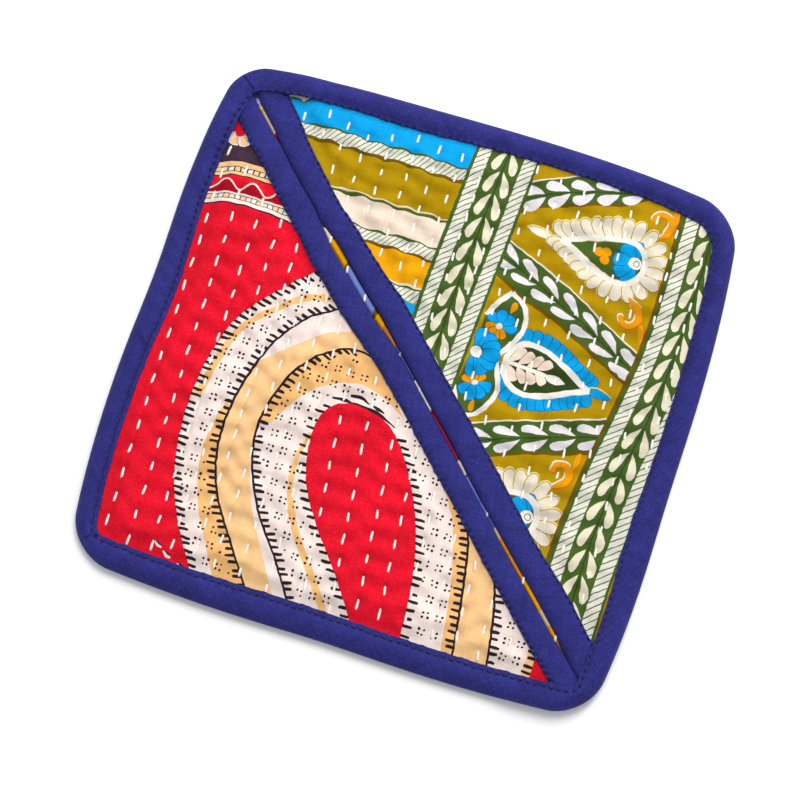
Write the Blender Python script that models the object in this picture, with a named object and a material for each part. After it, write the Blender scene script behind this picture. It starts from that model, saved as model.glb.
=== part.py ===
"""Square quilted pot holder with two triangular pockets that meet along a diagonal slit.

The object lies flat with its back on z = 0. X runs along the upper edge to the right and Y runs up the sheet,
both as seen from above. Sizes below are in millimetres and MM turns them into metres.
"""

import functools
import math

import bpy
import numpy as np
from mathutils import Vector
from mathutils.geometry import delaunay_2d_cdt

MM = 0.001
GAP = 0.3

# Outer edge of the edge binding, corner by corner, going round anticlockwise as seen from above.
# Each row: side that starts here, corner x, corner y, corner radius, bulge of the side, where along the side it
# draws in again, how much it draws in.
OUTER_EDGE = (
    ("left", -97.3, 96.2, 11.0, 6.1, 0.43, 1.3),
    ("bottom", -96.8, -98.6, 15.0, 3.4, 0.50, 0.7),
    ("right", 96.8, -99.1, 14.5, 5.7, 0.42, 0.6),
    ("top", 97.2, 96.8, 14.5, 6.0, 0.65, 0.5),
)
OUTER_BULGE_POWER = 3

# Inner edge of the same binding on the face, with nearly square mitred corners. Same columns.
INNER_EDGE = (
    ("left", -88.9, 87.1, 2.0, 4.5, 0.45, 2.1),
    ("bottom", -89.7, -89.3, 3.5, 1.7, 0.43, 0.6),
    ("right", 89.1, -90.8, 2.5, 3.7, 0.34, 1.4),
    ("top", 90.1, 87.0, 7.0, 6.1, 0.66, 1.6),
)
INNER_BULGE_POWER = 4
DRAW_IN_REACH = 0.14
SIDE_STEPS = 15
CORNER_STEPS = 5
ARC_HANDLE = 0.55

# The slit between the two pockets: a straight line with a slight bow.
SLIT_START = (-84.7, 82.1)
SLIT_END = (80.5, -77.8)
# Each row: distance along the slit, how far the slit bows towards the upper-right pocket.
SLIT_BOW = ((-10.0, 0.0), (0.0, 0.0), (45.0, -1.4), (75.0, -1.0), (112.0, 0.5), (155.0, 0.0), (250.0, 0.0))
# Each row: distance along the slit, half of the open width.
SLIT_HALF_OPEN = (
    (-10.0, 0.16),
    (1.0, 0.5),
    (11.0, 0.6),
    (18.0, 0.16),
    (48.0, 0.16),
    (62.0, 1.1),
    (90.0, 1.15),
    (108.0, 0.42),
    (128.0, 0.45),
    (143.0, 0.7),
    (170.0, 0.45),
    (195.0, 0.7),
    (220.0, 0.65),
    (236.0, 0.16),
    (250.0, 0.16),
)

# Layers, from the table up.
BASE_TOP = 3.4
BASE_RIM_TOP = 2.9
BASE_RIM_UNDER = 1.3
CLOTH = 1.0
POCKET_FULL = 2.7
POCKET_PRESSED = 1.0
PANEL_INSET = 2.8
CORNER_PRESS = 1.2
RAMP = 7.0

# Edge binding section: height of the fold's inside, how much higher it is over the pocket bindings' ends, the puff
# of its top along the sides, and how much of that puff the corners lack.
BINDING_INSIDE_TOP = 4.5
BINDING_CORNER_RISE = 1.9
BINDING_PUFF = 0.9
BINDING_CORNER_FLAT = 0.5
BINDING_BACK_LESS = 0.6
# Step in the back of the base panel beside the binding, measured from the face edge of the binding.
STEP_START = GAP - BINDING_BACK_LESS
STEP_LENGTH = 1.2

# Pocket bindings: widths on the face, the fold behind, and how far the ends are tucked in.
POCKET_BINDING_BACK = 7.0
POCKET_FOLD = 1.3
FOLD_CLEARANCE = 0.8
TUCK_INSET = 6.4
POCKET_BINDING_STEPS = 30
# Slack at the outer edge of a binding before the panel beside it starts to rise.
EDGE_SLACK = 0.4
# Each row: name, side of the slit (+1 is the upper right), face width, lift of the mouth over the base, first stitch
# row, distance between stitch rows, stitch pitch.
POCKETS = (
    ("lower_left", -1, 9.5, 0.5, -89.5, 9.0, 8.9),
    ("upper_right", 1, 10.8, 0.9, -68.2, 8.75, 8.6),
)
# Each row: distance along the slit, width of that pocket's binding there as a share of its face width.
POCKET_BINDING_NARROWS = {
    "lower_left": (
        (0.0, 0.98),
        (60.0, 0.99),
        (100.0, 0.97),
        (140.0, 0.88),
        (165.0, 0.90),
        (190.0, 0.94),
        (240.0, 0.97),
    ),
    "upper_right": (
        (0.0, 1.0),
        (25.0, 0.90),
        (66.0, 0.87),
        (92.0, 0.97),
        (122.0, 0.93),
        (165.0, 0.96),
        (192.0, 0.89),
        (214.0, 0.98),
        (240.0, 0.98),
    ),
}
# The tucked ends of a row are looked up this much further from the slit than the row, to allow for the opening.
TUCK_SHIFT = 0.5
# Steps and reach of the search for the place where a line goes under the edge binding.
SEARCH_STEPS = 40
SEARCH_OVERRUN = 30.0
# Pressed ends of the slit: fully pressed up to the first distance from each end, free from the second on.
PRESSED_LENGTH = 1.0
PRESSED_FADE = 23.0
PRESSED_LAST = 233.0
PRESSED_HALF_WIDTH = 12.5
PRESSED_SIDE_FADE = 12.0

# Lines drawn beside the slit run past both corners by this much.
SLIT_OVERRUN = 20.0
GUIDE_STEPS = 60
MOUTH_STEPS = 44
# The thin tips of a pocket panel end this far from the fold.
TIP_CUT = 4.0
RIM_CLEARANCE = 1.0

# Quilting on the faces that show.
VALLEY = 0.8
RIDGE_POWER = 0.7
RIDGE_MEAN = 0.75
RIPPLE = 0.2
# How far the ripples step up the cloth from one stitch row to the next, in pitches.
RIPPLE_LEAN = 0.37
ROW_SPLITS = 3
COARSE_GRID = 9.0
HALF_SHEET = 99.0
EDGE_CLEARANCE = 1.6
# A guide keeps the points that lie as far from its edge as asked, within this.
GUIDE_TOLERANCE = 0.1
ROWS_BEFORE_FIRST = 12

NAVY = (0.032, 0.033, 0.198)
RED = (0.745, 0.012, 0.030)
OLIVE = (0.480, 0.296, 0.004)
CALICO = (0.700, 0.640, 0.540)
CLOTH_ROUGHNESS = 0.9


def smooth(value):
    """0 below 0, 1 above 1 and an even ramp between."""
    held = np.clip(value, 0.0, 1.0)
    return held * held * (3.0 - 2.0 * held)


def from_table(rows, value):
    """Reads a two-column table, easing from row to row."""
    value = np.asarray(value, float)
    found = np.full(value.shape, rows[0][1], float)
    for (start, low), (end, high) in zip(rows, rows[1:]):
        found = found + (high - low) * smooth((value - start) / (end - start))
    return found


def side_point(corner, following, share, power):
    """A point of one bulging side, with share running from 0 to 1 along it."""
    _, x, y, _, bulge, draw_at, draw_in = corner
    along = np.array([following[1] - x, following[2] - y])
    outward = np.array([along[1], -along[0]]) / np.hypot(*along)
    push = bulge * (1.0 - abs(2.0 * share - 1.0) ** power)
    push -= draw_in * math.exp(-(((share - draw_at) / DRAW_IN_REACH) ** 2))
    return np.array([x, y]) + along * share + outward * push


def rounded_edge(rows, power):
    """The closed edge as an array of points, the same count for every table of four sides."""
    points = []
    for index, row in enumerate(rows):
        before, after = rows[index - 1], rows[(index + 1) % 4]
        length = math.hypot(after[1] - row[1], after[2] - row[2])
        length_before = math.hypot(row[1] - before[1], row[2] - before[2])
        cut, cut_before = row[3] / length, row[3] / length_before
        cut_after = after[3] / length
        enter = side_point(before, row, 1.0 - cut_before, power)
        leave = side_point(row, after, cut, power)
        enter_aim = side_point(before, row, 1.0 - cut_before * (1.0 - ARC_HANDLE), power)
        leave_aim = side_point(row, after, cut * (1.0 - ARC_HANDLE), power)
        for step in range(CORNER_STEPS):
            t = step / CORNER_STEPS
            weights = ((1 - t) ** 3, 3 * t * (1 - t) ** 2, 3 * t * t * (1 - t), t**3)
            points.append(sum(w * p for w, p in zip(weights, (enter, enter_aim, leave_aim, leave))))
        for step in range(SIDE_STEPS):
            share = cut + (1.0 - cut - cut_after) * step / SIDE_STEPS
            points.append(side_point(row, after, share, power))
    return np.array(points)


def moved_in(edge, distance):
    """The closed edge moved towards its inside by the same distance everywhere."""
    along = np.roll(edge, -1, axis=0) - np.roll(edge, 1, axis=0)
    inward = np.stack([-along[:, 1], along[:, 0]], axis=1)
    inward /= np.linalg.norm(inward, axis=1, keepdims=True)
    return edge + inward * distance


def distance_to(edge, x, y, closed=True):
    """Least distance from each place to a line of points."""
    starts = edge if closed else edge[:-1]
    ends = np.roll(edge, -1, axis=0) if closed else edge[1:]
    places = np.stack([np.ravel(x), np.ravel(y)], axis=1)
    best = np.full(len(places), np.inf)
    for start, end in zip(starts, ends):
        step = end - start
        share = np.clip((places - start) @ step / (step @ step), 0.0, 1.0)
        best = np.minimum(best, np.linalg.norm(places - start - share[:, None] * step, axis=1))
    return best.reshape(np.shape(x))


def is_inside(edge, x, y):
    """Whether each place lies inside a closed edge."""
    inside = np.zeros(np.shape(x), bool)
    for (x0, y0), (x1, y1) in zip(edge, np.roll(edge, -1, axis=0)):
        crosses = (y0 > y) != (y1 > y)
        slope = (x1 - x0) / (y1 - y0) if y1 != y0 else 0.0
        inside ^= crosses & (x < x0 + (y - y0) * slope)
    return inside


OUTER = rounded_edge(OUTER_EDGE, OUTER_BULGE_POWER)
INNER = rounded_edge(INNER_EDGE, INNER_BULGE_POWER)
SLIT_LENGTH = math.hypot(SLIT_END[0] - SLIT_START[0], SLIT_END[1] - SLIT_START[1])
ALONG = ((SLIT_END[0] - SLIT_START[0]) / SLIT_LENGTH, (SLIT_END[1] - SLIT_START[1]) / SLIT_LENGTH)
ACROSS = (-ALONG[1], ALONG[0])


def slit_place(x, y):
    """Distance along the slit and distance from it, positive towards the upper right."""
    along = (x - SLIT_START[0]) * ALONG[0] + (y - SLIT_START[1]) * ALONG[1]
    across = (x - SLIT_START[0]) * ACROSS[0] + (y - SLIT_START[1]) * ACROSS[1]
    return along, across - from_table(SLIT_BOW, along)


def plan_place(along, across):
    """The opposite of slit_place."""
    shifted = across + from_table(SLIT_BOW, along)
    x = SLIT_START[0] + along * ALONG[0] + shifted * ACROSS[0]
    y = SLIT_START[1] + along * ALONG[1] + shifted * ACROSS[1]
    return x, y


def end_press(along):
    """1 where the ends of the pocket bindings are sewn down, 0 along the free mouth."""
    first = 1.0 - smooth((along - PRESSED_LENGTH) / PRESSED_FADE)
    last = smooth((along - PRESSED_LAST + PRESSED_FADE) / PRESSED_FADE)
    return np.maximum(first, last)


def face_inset(x, y):
    """How far inside the face edge of the edge binding a place is, negative below the binding."""
    apart = distance_to(INNER, x, y)
    return np.where(is_inside(INNER, x, y), apart, -apart)


def base_top(x, y):
    """Top of the base panel, pressed down at its rim and under the sewn ends of the pocket bindings."""
    along, across = slit_place(x, y)
    rim = 1.0 - smooth(face_inset(x, y) / RAMP)
    beside = 1.0 - smooth((abs(across) - PRESSED_HALF_WIDTH) / PRESSED_SIDE_FADE)
    return BASE_TOP - np.maximum((BASE_TOP - BASE_RIM_TOP) * rim, CORNER_PRESS * end_press(along) * beside)


def base_under(x, y):
    """The back: flat on the table, with a step up where the edge binding passes below."""
    return BASE_RIM_UNDER * (1.0 - smooth((face_inset(x, y) - STEP_START) / STEP_LENGTH))


def mouth_under(along, lift):
    """Height of the back fold of a pocket binding above the table."""
    rise = lift * np.sin(math.pi * np.clip(along / SLIT_LENGTH, 0.0, 1.0)) ** 2
    return BASE_TOP + GAP - CORNER_PRESS * end_press(along) + rise


def pocket_levels(x, y, pocket):
    """Underside, thickness and how free the cloth is to puff up, for one pocket panel."""
    _, side, width, lift, *_ = pocket
    along, across = slit_place(x, y)
    inward = side * across - from_table(SLIT_HALF_OPEN, along)
    near_mouth = 1.0 - smooth((inward - POCKET_BINDING_BACK - EDGE_SLACK) / RAMP)
    low = base_top(x, y) + GAP
    high = mouth_under(along, lift) + CLOTH + GAP
    free = smooth((inward - width - EDGE_SLACK) / RAMP) * smooth((face_inset(x, y) - EDGE_SLACK) / RAMP)
    thick = POCKET_PRESSED + (POCKET_FULL - POCKET_PRESSED) * free
    return low + (high - low) * near_mouth, thick, free


def pocket_under(x, y, pocket):
    return pocket_levels(x, y, pocket)[0]


def pocket_top(x, y, pocket):
    """Top of a pocket panel with its stitch rows pulled in and soft ripples between them."""
    under, thick, free = pocket_levels(x, y, pocket)
    _, _, _, _, first_row, spacing, pitch = pocket
    rows = (x - first_row) / spacing
    ridge = abs(np.sin(math.pi * rows)) ** RIDGE_POWER
    beat = np.cos(2.0 * math.pi * (y / pitch + RIPPLE_LEAN * rows))
    return under + thick + free * (VALLEY * (ridge - RIDGE_MEAN) + RIPPLE * beat)


def grid_places(edge, columns, rows):
    """Grid crossings well inside a closed edge."""
    x, y = (part.ravel() for part in np.meshgrid(columns, rows))
    keep = is_inside(edge, x, y) & (distance_to(edge, x, y) > EDGE_CLEARANCE)
    return np.stack([x[keep], y[keep]], axis=1)


def cloth_face(edge, guides, places):
    """Triangles over a closed edge. The first points of the result are those of the edge, in order."""
    lines = []
    points = [tuple(p) for p in edge]
    for guide, closed in guides:
        inside = is_inside(edge, guide[:, 0], guide[:, 1]) & (distance_to(edge, *guide.T) > EDGE_CLEARANCE)
        first = len(points)
        numbers = np.cumsum(inside) - 1 + first
        points += [tuple(p) for p in guide[inside]]
        order = range(len(guide)) if closed else range(len(guide) - 1)
        for i in order:
            j = (i + 1) % len(guide)
            if inside[i] and inside[j]:
                lines.append((int(numbers[i]), int(numbers[j])))
    near = np.zeros(len(places), bool)
    for guide, closed in guides:
        near |= distance_to(guide, *places.T, closed=closed) < EDGE_CLEARANCE
    points += [tuple(p) for p in places[~near]]
    vertices, _, faces, origins, _, _ = delaunay_2d_cdt(
        [Vector(p) for p in points], lines, [list(range(len(edge)))], 1, 1e-5
    )
    place_of = {}
    for number, sources in enumerate(origins):
        for source in sources:
            if source < len(edge):
                place_of[source] = number
    order = [place_of[i] for i in range(len(edge))]
    placed = set(order)
    rest = [i for i in range(len(vertices)) if i not in placed]
    renumbered = {old: new for new, old in enumerate(order + rest)}
    flat = np.array([vertices[i][:] for i in order + rest])
    return flat, [[renumbered[i] for i in face] for face in faces]


def cloth_body(name, edge, top, under, material):
    """A closed body between two faces over the same edge. top and under hold guides, places and a height rule."""
    top_flat, top_faces = cloth_face(edge, top[0], top[1])
    under_flat, under_faces = cloth_face(edge, under[0], under[1])
    top_points = [(x, y, z) for (x, y), z in zip(top_flat, top[2](*top_flat.T))]
    under_points = [(x, y, z) for (x, y), z in zip(under_flat, under[2](*under_flat.T))]
    shift = len(top_points)
    faces = list(top_faces)
    faces += [[i + shift for i in reversed(face)] for face in under_faces]
    count = len(edge)
    for i in range(count):
        j = (i + 1) % count
        faces.append([i, i + shift, j + shift, j])
    return new_body(name, top_points + under_points, faces, material)


def new_body(name, points, faces, material):
    mesh = bpy.data.meshes.new(name)
    mesh.from_pydata([tuple(c * MM for c in p) for p in points], [], faces)
    mesh.validate()
    mesh.materials.append(material)
    mesh.polygons.foreach_set("use_smooth", [True] * len(mesh.polygons))
    body = bpy.data.objects.new(name, mesh)
    collection.objects.link(body)
    return body


def swept_body(name, sections, closed, material):
    """A closed body from sections that each hold the same count of points, in order."""
    count = len(sections[0])
    points = [p for section in sections for p in section]
    faces = []
    last = len(sections) if closed else len(sections) - 1
    for i in range(last):
        here, there = i * count, ((i + 1) % len(sections)) * count
        for j in range(count):
            k = (j + 1) % count
            faces.append([here + j, there + j, there + k, here + k])
    if not closed:
        faces.append(list(range(count)))
        end = (len(sections) - 1) * count
        faces.append([end + j for j in reversed(range(count))])
    return new_body(name, points, faces, material)


def edge_section(outer, inner):
    """Points of the folded edge binding at one place, from its face edge round the outside to its back and inside."""
    width = math.dist(outer, inner)
    _, across = slit_place(*inner)
    beside = float(1.0 - smooth((abs(across) - PRESSED_HALF_WIDTH) / PRESSED_SIDE_FADE))
    inside = BINDING_INSIDE_TOP + BINDING_CORNER_RISE * beside
    middle = (inside + CLOTH) / 2.0
    puff = BINDING_PUFF - BINDING_CORNER_FLAT * beside
    back = width - BINDING_BACK_LESS
    rows = (
        # distance in from the outer edge, height
        (width, inside + 0.6 * CLOTH),
        (width - 0.5, inside + CLOTH),
        (width - 1.4, inside + 0.9 * CLOTH),
        (width - 2.6, inside + CLOTH + 0.4 * puff),
        (0.5 * width, inside + CLOTH + puff),
        (3.0, inside + CLOTH + 0.7 * puff),
        (1.2, inside + 0.6 * CLOTH),
        (0.3, 0.5 * (middle + inside)),
        (0.0, middle),
        (0.4, 0.4 * middle),
        (1.6, 0.2),
        (3.2, 0.0),
        (back, 0.0),
        (back, CLOTH),
        (2.2, CLOTH),
        (1.3, 0.6 * middle),
        (1.2, middle),
        (1.5, inside - 0.5),
        (2.4, inside),
        (width, inside),
    )
    inward = (np.array(inner) - np.array(outer)) / width
    return [(*(outer + inward * apart), height) for apart, height in rows]


@functools.cache
def tucked_ends(across):
    """Where a line beside the slit goes under the edge binding, at both ends."""
    ends = []
    for high in (-SEARCH_OVERRUN, SLIT_LENGTH + SEARCH_OVERRUN):
        low = 0.5 * SLIT_LENGTH
        for _ in range(SEARCH_STEPS):
            middle = 0.5 * (low + high)
            x, y = plan_place(middle, across)
            kept = is_inside(OUTER, x, y) and distance_to(OUTER, x, y) > TUCK_INSET
            low, high = (middle, high) if kept else (low, middle)
        ends.append(low)
    return ends


def mouth_section(share, pocket):
    """Points of a folded pocket binding, from its edge on the face round the fold to the back and inside."""
    name, side, width, lift, *_ = pocket
    back = POCKET_BINDING_BACK
    # Each row: distance in from the fold, layers of cloth and gaps below this point.
    rows = (
        (width, 3.0),
        (width - 0.5, 3.35),
        (width - 1.4, 3.25),
        (width - 2.6, 3.5),
        (0.5 * width, 3.7),
        (2.4, 3.6),
        (0.8, 3.1),
        (0.0, 1.8),
        (0.6, 0.5),
        (1.8, 0.0),
        (back, 0.0),
        (back, CLOTH),
        (1.7, CLOTH),
        (POCKET_FOLD, 1.8),
        (1.7, 2.0 * CLOTH + 2.0 * GAP),
        (width, 2.0 * CLOTH + 2.0 * GAP),
    )
    section = []
    for apart, layer in rows:
        first, last = tucked_ends(side * (apart + TUCK_SHIFT))
        along = first + (last - first) * share
        opened = float(from_table(SLIT_HALF_OPEN, along))
        narrowed = apart * float(from_table(POCKET_BINDING_NARROWS[name], along))
        x, y = plan_place(along, side * (narrowed + opened))
        flatter = min(layer, 3.0 * CLOTH + 2.0 * GAP)
        height = layer + (flatter - layer) * float(end_press(along))
        section.append((float(x), float(y), float(mouth_under(along, lift)) + height))
    return section


def pocket_edge(pocket):
    """Closed edge of one pocket panel: inside the edge binding and just short of its own folded binding."""
    _, side, *_ = pocket
    rim = moved_in(OUTER, PANEL_INSET)
    _, across = slit_place(rim[:, 0], rim[:, 1])
    kept = side * across > POCKET_FOLD + TIP_CUT
    first = next(i for i in range(len(rim)) if kept[i] and not kept[i - 1])
    outer_part = [rim[(first + i) % len(rim)] for i in range(int(kept.sum()))]
    along = np.linspace(-SLIT_OVERRUN, SLIT_LENGTH + SLIT_OVERRUN, MOUTH_STEPS)
    x, y = plan_place(along, side * (POCKET_FOLD + FOLD_CLEARANCE + from_table(SLIT_HALF_OPEN, along)))
    inside = is_inside(rim, x, y) & (distance_to(rim, x, y) > RIM_CLEARANCE)
    mouth_part = list(np.stack([x[inside], y[inside]], axis=1))
    if math.dist(outer_part[-1], mouth_part[0]) > math.dist(outer_part[-1], mouth_part[-1]):
        mouth_part.reverse()
    return np.array(outer_part + mouth_part)


def face_guide(apart):
    """The face edge of the edge binding moved towards the middle, without the loops that sharp corners would leave."""
    moved = moved_in(INNER, apart)
    return moved[distance_to(INNER, *moved.T) > abs(apart) - GUIDE_TOLERANCE], True


def mouth_guide(pocket, apart):
    """A line beside the slit, apart from the fold of the pocket binding."""
    along = np.linspace(-SLIT_OVERRUN, SLIT_LENGTH + SLIT_OVERRUN, GUIDE_STEPS)
    x, y = plan_place(along, pocket[1] * (apart + from_table(SLIT_HALF_OPEN, along)))
    return np.stack([x, y], axis=1), False


def cloth_material(name, colour):
    material = bpy.data.materials.new(name)
    material.use_nodes = True
    shader = material.node_tree.nodes["Principled BSDF"]
    shader.inputs["Base Color"].default_value = (*colour, 1.0)
    shader.inputs["Roughness"].default_value = CLOTH_ROUGHNESS
    shader.inputs["Metallic"].default_value = 0.0
    material.diffuse_color = (*colour, 1.0)
    return material


for old in list(bpy.data.objects):
    bpy.data.objects.remove(old, do_unlink=True)
collection = bpy.data.collections.new("quilted_pot_holder")
bpy.context.scene.collection.children.link(collection)

coarse = np.arange(-HALF_SHEET, HALF_SHEET, COARSE_GRID)
rim_edge = moved_in(OUTER, PANEL_INSET)
coarse_places = grid_places(rim_edge, coarse, coarse)
face_guides = [face_guide(EDGE_SLACK), face_guide(RAMP)]
back_guides = [face_guide(STEP_START), face_guide(STEP_START + STEP_LENGTH)]

cloth_body(
    "base_panel",
    rim_edge,
    (face_guides, coarse_places, base_top),
    (back_guides, coarse_places, base_under),
    cloth_material("quilt_calico", CALICO),
)

navy = cloth_material("binding_navy", NAVY)
pocket_colours = {"lower_left": ("quilt_red", RED), "upper_right": ("quilt_olive", OLIVE)}
for pocket in POCKETS:
    name, _, width, _, first_row, spacing, pitch = pocket
    edge = pocket_edge(pocket)
    face_start, back_start = width + EDGE_SLACK, POCKET_BINDING_BACK + EDGE_SLACK
    columns = np.arange(first_row - ROWS_BEFORE_FIRST * spacing, HALF_SHEET, spacing / ROW_SPLITS)
    rows = np.arange(-HALF_SHEET, HALF_SHEET, pitch / 2.0)
    cloth_body(
        "pocket_panel_" + name,
        edge,
        (
            face_guides + [mouth_guide(pocket, face_start), mouth_guide(pocket, face_start + RAMP)],
            grid_places(edge, columns, rows),
            lambda x, y, pocket=pocket: pocket_top(x, y, pocket),
        ),
        (
            face_guides + [mouth_guide(pocket, back_start), mouth_guide(pocket, back_start + RAMP)],
            grid_places(edge, coarse, coarse),
            lambda x, y, pocket=pocket: pocket_under(x, y, pocket),
        ),
        cloth_material(*pocket_colours[name]),
    )
    sections = [mouth_section(step / POCKET_BINDING_STEPS, pocket) for step in range(POCKET_BINDING_STEPS + 1)]
    if pocket[1] > 0:
        sections.reverse()
    swept_body("pocket_binding_" + name, sections, False, navy)

ring = [edge_section(outer, inner) for outer, inner in zip(OUTER, INNER)]
swept_body("edge_binding", ring[::-1], True, navy)
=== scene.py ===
"""Looks of a quilted pot holder: printed cloths, hand stitches, bound edges, light and camera.

Sizes are in millimetres, in the same frame as the solids, with the back of the holder on z = 0. MM turns
them into metres. The outlines, the slit and the heights follow the same rules as the solids, in finer steps.
"""

import functools
import math

import bpy
import numpy as np
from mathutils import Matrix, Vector
from mathutils.geometry import delaunay_2d_cdt


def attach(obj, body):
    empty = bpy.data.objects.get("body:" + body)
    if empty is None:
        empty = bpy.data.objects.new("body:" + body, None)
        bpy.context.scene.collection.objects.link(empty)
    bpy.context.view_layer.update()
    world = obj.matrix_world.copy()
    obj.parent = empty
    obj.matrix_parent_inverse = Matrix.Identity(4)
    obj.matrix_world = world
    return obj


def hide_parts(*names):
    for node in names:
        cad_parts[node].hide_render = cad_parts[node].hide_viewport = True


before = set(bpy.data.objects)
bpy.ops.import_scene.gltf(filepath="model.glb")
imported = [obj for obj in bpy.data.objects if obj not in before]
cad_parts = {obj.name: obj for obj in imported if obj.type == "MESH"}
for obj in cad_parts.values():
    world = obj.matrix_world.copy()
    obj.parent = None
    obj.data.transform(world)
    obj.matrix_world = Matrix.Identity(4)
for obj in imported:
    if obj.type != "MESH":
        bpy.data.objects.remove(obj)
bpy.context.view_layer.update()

MM = 0.001

# ----------------------------------------------------------------------
# Outlines, as in the solids. Rows: side that starts here, corner x, corner y, corner radius, bulge of the
# side, where along the side it draws in again, how much it draws in.

GAP = 0.3
OUTER_EDGE = (
    ("left", -97.3, 96.2, 11.0, 6.1, 0.43, 1.3),
    ("bottom", -96.8, -98.6, 15.0, 3.4, 0.50, 0.7),
    ("right", 96.8, -99.1, 14.5, 5.7, 0.42, 0.6),
    ("top", 97.2, 96.8, 14.5, 6.0, 0.65, 0.5),
)
OUTER_BULGE_POWER = 3
INNER_EDGE = (
    ("left", -88.9, 87.1, 2.0, 4.5, 0.45, 2.1),
    ("bottom", -89.7, -89.3, 3.5, 1.7, 0.43, 0.6),
    ("right", 89.1, -90.8, 2.5, 3.7, 0.34, 1.4),
    ("top", 90.1, 87.0, 7.0, 6.1, 0.66, 1.6),
)
INNER_BULGE_POWER = 4
DRAW_IN_REACH = 0.14
ARC_HANDLE = 0.55
ROUGH_STEPS = (5, 15)
FINE_STEPS = (40, 430)
PANEL_EDGE_STEPS = (10, 75)

# The slit between the two pockets: a straight line with a slight bow, and its half open width.
SLIT_START = (-84.7, 82.1)
SLIT_END = (80.5, -77.8)
SLIT_BOW = ((-10.0, 0.0), (0.0, 0.0), (45.0, -1.4), (75.0, -1.0), (112.0, 0.5), (155.0, 0.0), (250.0, 0.0))
SLIT_HALF_OPEN = (
    (-10, 0.16), (1, 0.5), (11, 0.6), (18, 0.16), (48, 0.16), (62, 1.1), (90, 1.15), (108, 0.42),
    (128, 0.45), (143, 0.7), (170, 0.45), (195, 0.7), (220, 0.65), (236, 0.16), (250, 0.16),
)

# Layers and sections, as in the solids.
BASE_TOP = 3.4
BASE_RIM_TOP = 2.9
BASE_RIM_UNDER = 1.3
CLOTH = 1.0
POCKET_FULL = 2.7
POCKET_PRESSED = 1.0
PANEL_INSET = 2.8
CORNER_PRESS = 1.2
RAMP = 7.0
BINDING_INSIDE_TOP = 4.5
BINDING_CORNER_RISE = 1.9
BINDING_BACK_LESS = 0.6
STEP_START = GAP - BINDING_BACK_LESS
STEP_LENGTH = 1.2
POCKET_BINDING_BACK = 7.0
POCKET_FOLD = 1.3
FOLD_CLEARANCE = 0.8
TUCK_INSET = 6.4
EDGE_SLACK = 0.4
POCKETS = {
    # name: side of the slit (+1 is the upper right), face width of the binding, lift of the mouth
    "lower_left": (-1, 9.5, 0.5),
    "upper_right": (1, 10.8, 0.9),
}
# Width of each pocket's binding along the slit, as a share of its face width.
POCKET_BINDING_NARROWS = {
    "lower_left": (
        (0, 0.98), (60, 0.99), (100, 0.97), (140, 0.88), (165, 0.90), (190, 0.94), (240, 0.97),
    ),
    "upper_right": (
        (0, 1), (25, 0.90), (66, 0.87), (92, 0.97), (122, 0.93), (165, 0.96), (192, 0.89), (214, 0.98),
        (240, 0.98),
    ),
}
# How the two folds lie along the slit. Rows: distance along the slit, how far each fold stands back from it.
FOLD_BACK = (
    (-8, 0), (-5, 0.3), (0, 0.1), (15, -0.1), (50, -0.1), (60, 0.35), (96, 0.35), (107, 0.1),
    (122, 0.06), (140, 0), (196, 0), (208, 0.2), (222, 0.2), (231, 0), (234, -0.13),
)
# Rows: distance along the slit, how far both folds sway towards the upper right.
FOLD_SWAY = (
    (-6, 0.6), (0, 0), (25, 0.1), (44, 0.7), (50, 0.2), (120, 0.3), (150, 0.55), (165, 0.3), (190, 0),
    (222, 0.15),
)
# The base cloth puffs up a little where the slit stands open.
SLIT_PUFF = 2.9
SLIT_PUFF_BESIDE = 0.45
SLIT_PUFF_FROM = 0.5
PRESSED_LENGTH = 1.0
PRESSED_FADE = 23.0
PRESSED_LAST = 233.0
PRESSED_HALF_WIDTH = 12.5
PRESSED_SIDE_FADE = 12.0
SLIT_OVERRUN = 20.0
TIP_CUT = 4.0
RIM_CLEARANCE = 1.0

# ----------------------------------------------------------------------
# Hand stitches, in rows that run down the cloth. Rows: x and y of one stitch, lean (x gained for each mm of
# y), pitch. Each row runs on both ways to the edges of its cloth.

STITCH_ROWS = {
    "lower_left": (
        (-90.2, 35.0, -0.025, 9.10), (-81.5, 38.5, -0.030, 8.97), (-72.2, 37.5, -0.025, 8.90),
        (-63.1, 5.0, -0.010, 9.00), (-54.6, 34.5, -0.010, 8.30), (-46.6, 15.5, -0.010, 8.50),
        (-37.8, 10.0, -0.020, 8.80), (-29.5, 0.0, -0.050, 9.00), (-19.5, -22.5, -0.114, 8.80),
        (-9.3, -22.5, -0.118, 8.40), (1.5, -26.5, -0.103, 8.43), (11.3, -34.5, -0.090, 8.60),
        (21.7, -40.0, -0.080, 8.70), (33.2, -52.0, -0.080, 8.80), (43.0, -58.5, -0.060, 9.00),
        (52.7, -70.5, -0.060, 9.30), (63.4, -82.0, -0.060, 9.20),
    ),
    "upper_right": (
        (-68.3, 84.0, 0.0, 8.60), (-59.5, 87.5, 0.0, 7.50), (-51.5, 84.5, 0.0, 8.70),
        (-43.0, 82.6, 0.0, 8.30), (-34.2, 85.3, 0.0, 7.20), (-24.8, 88.2, 0.0, 7.80),
        (-16.2, 86.2, 0.0, 7.90), (-7.3, 85.5, 0.03, 8.50), (1.0, 40.0, 0.01, 7.95),
        (12.8, 86.5, 0.05, 8.20), (20.9, 89.5, -0.005, 8.15), (30.8, 87.5, 0.0, 9.40),
        (40.2, 78.0, -0.010, 8.60), (49.3, 76.5, -0.020, 8.80), (58.5, 84.0, -0.030, 8.55),
        (68.6, 84.5, -0.020, 9.20), (77.0, 82.0, -0.045, 8.80), (88.8, 75.0, -0.030, 9.00),
    ),
    "back": tuple((-82.4 + 9.1 * i, 3.0 * (i % 3), 0.012 * (i % 4 - 1.5), 8.9) for i in range(19)),
}
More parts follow.
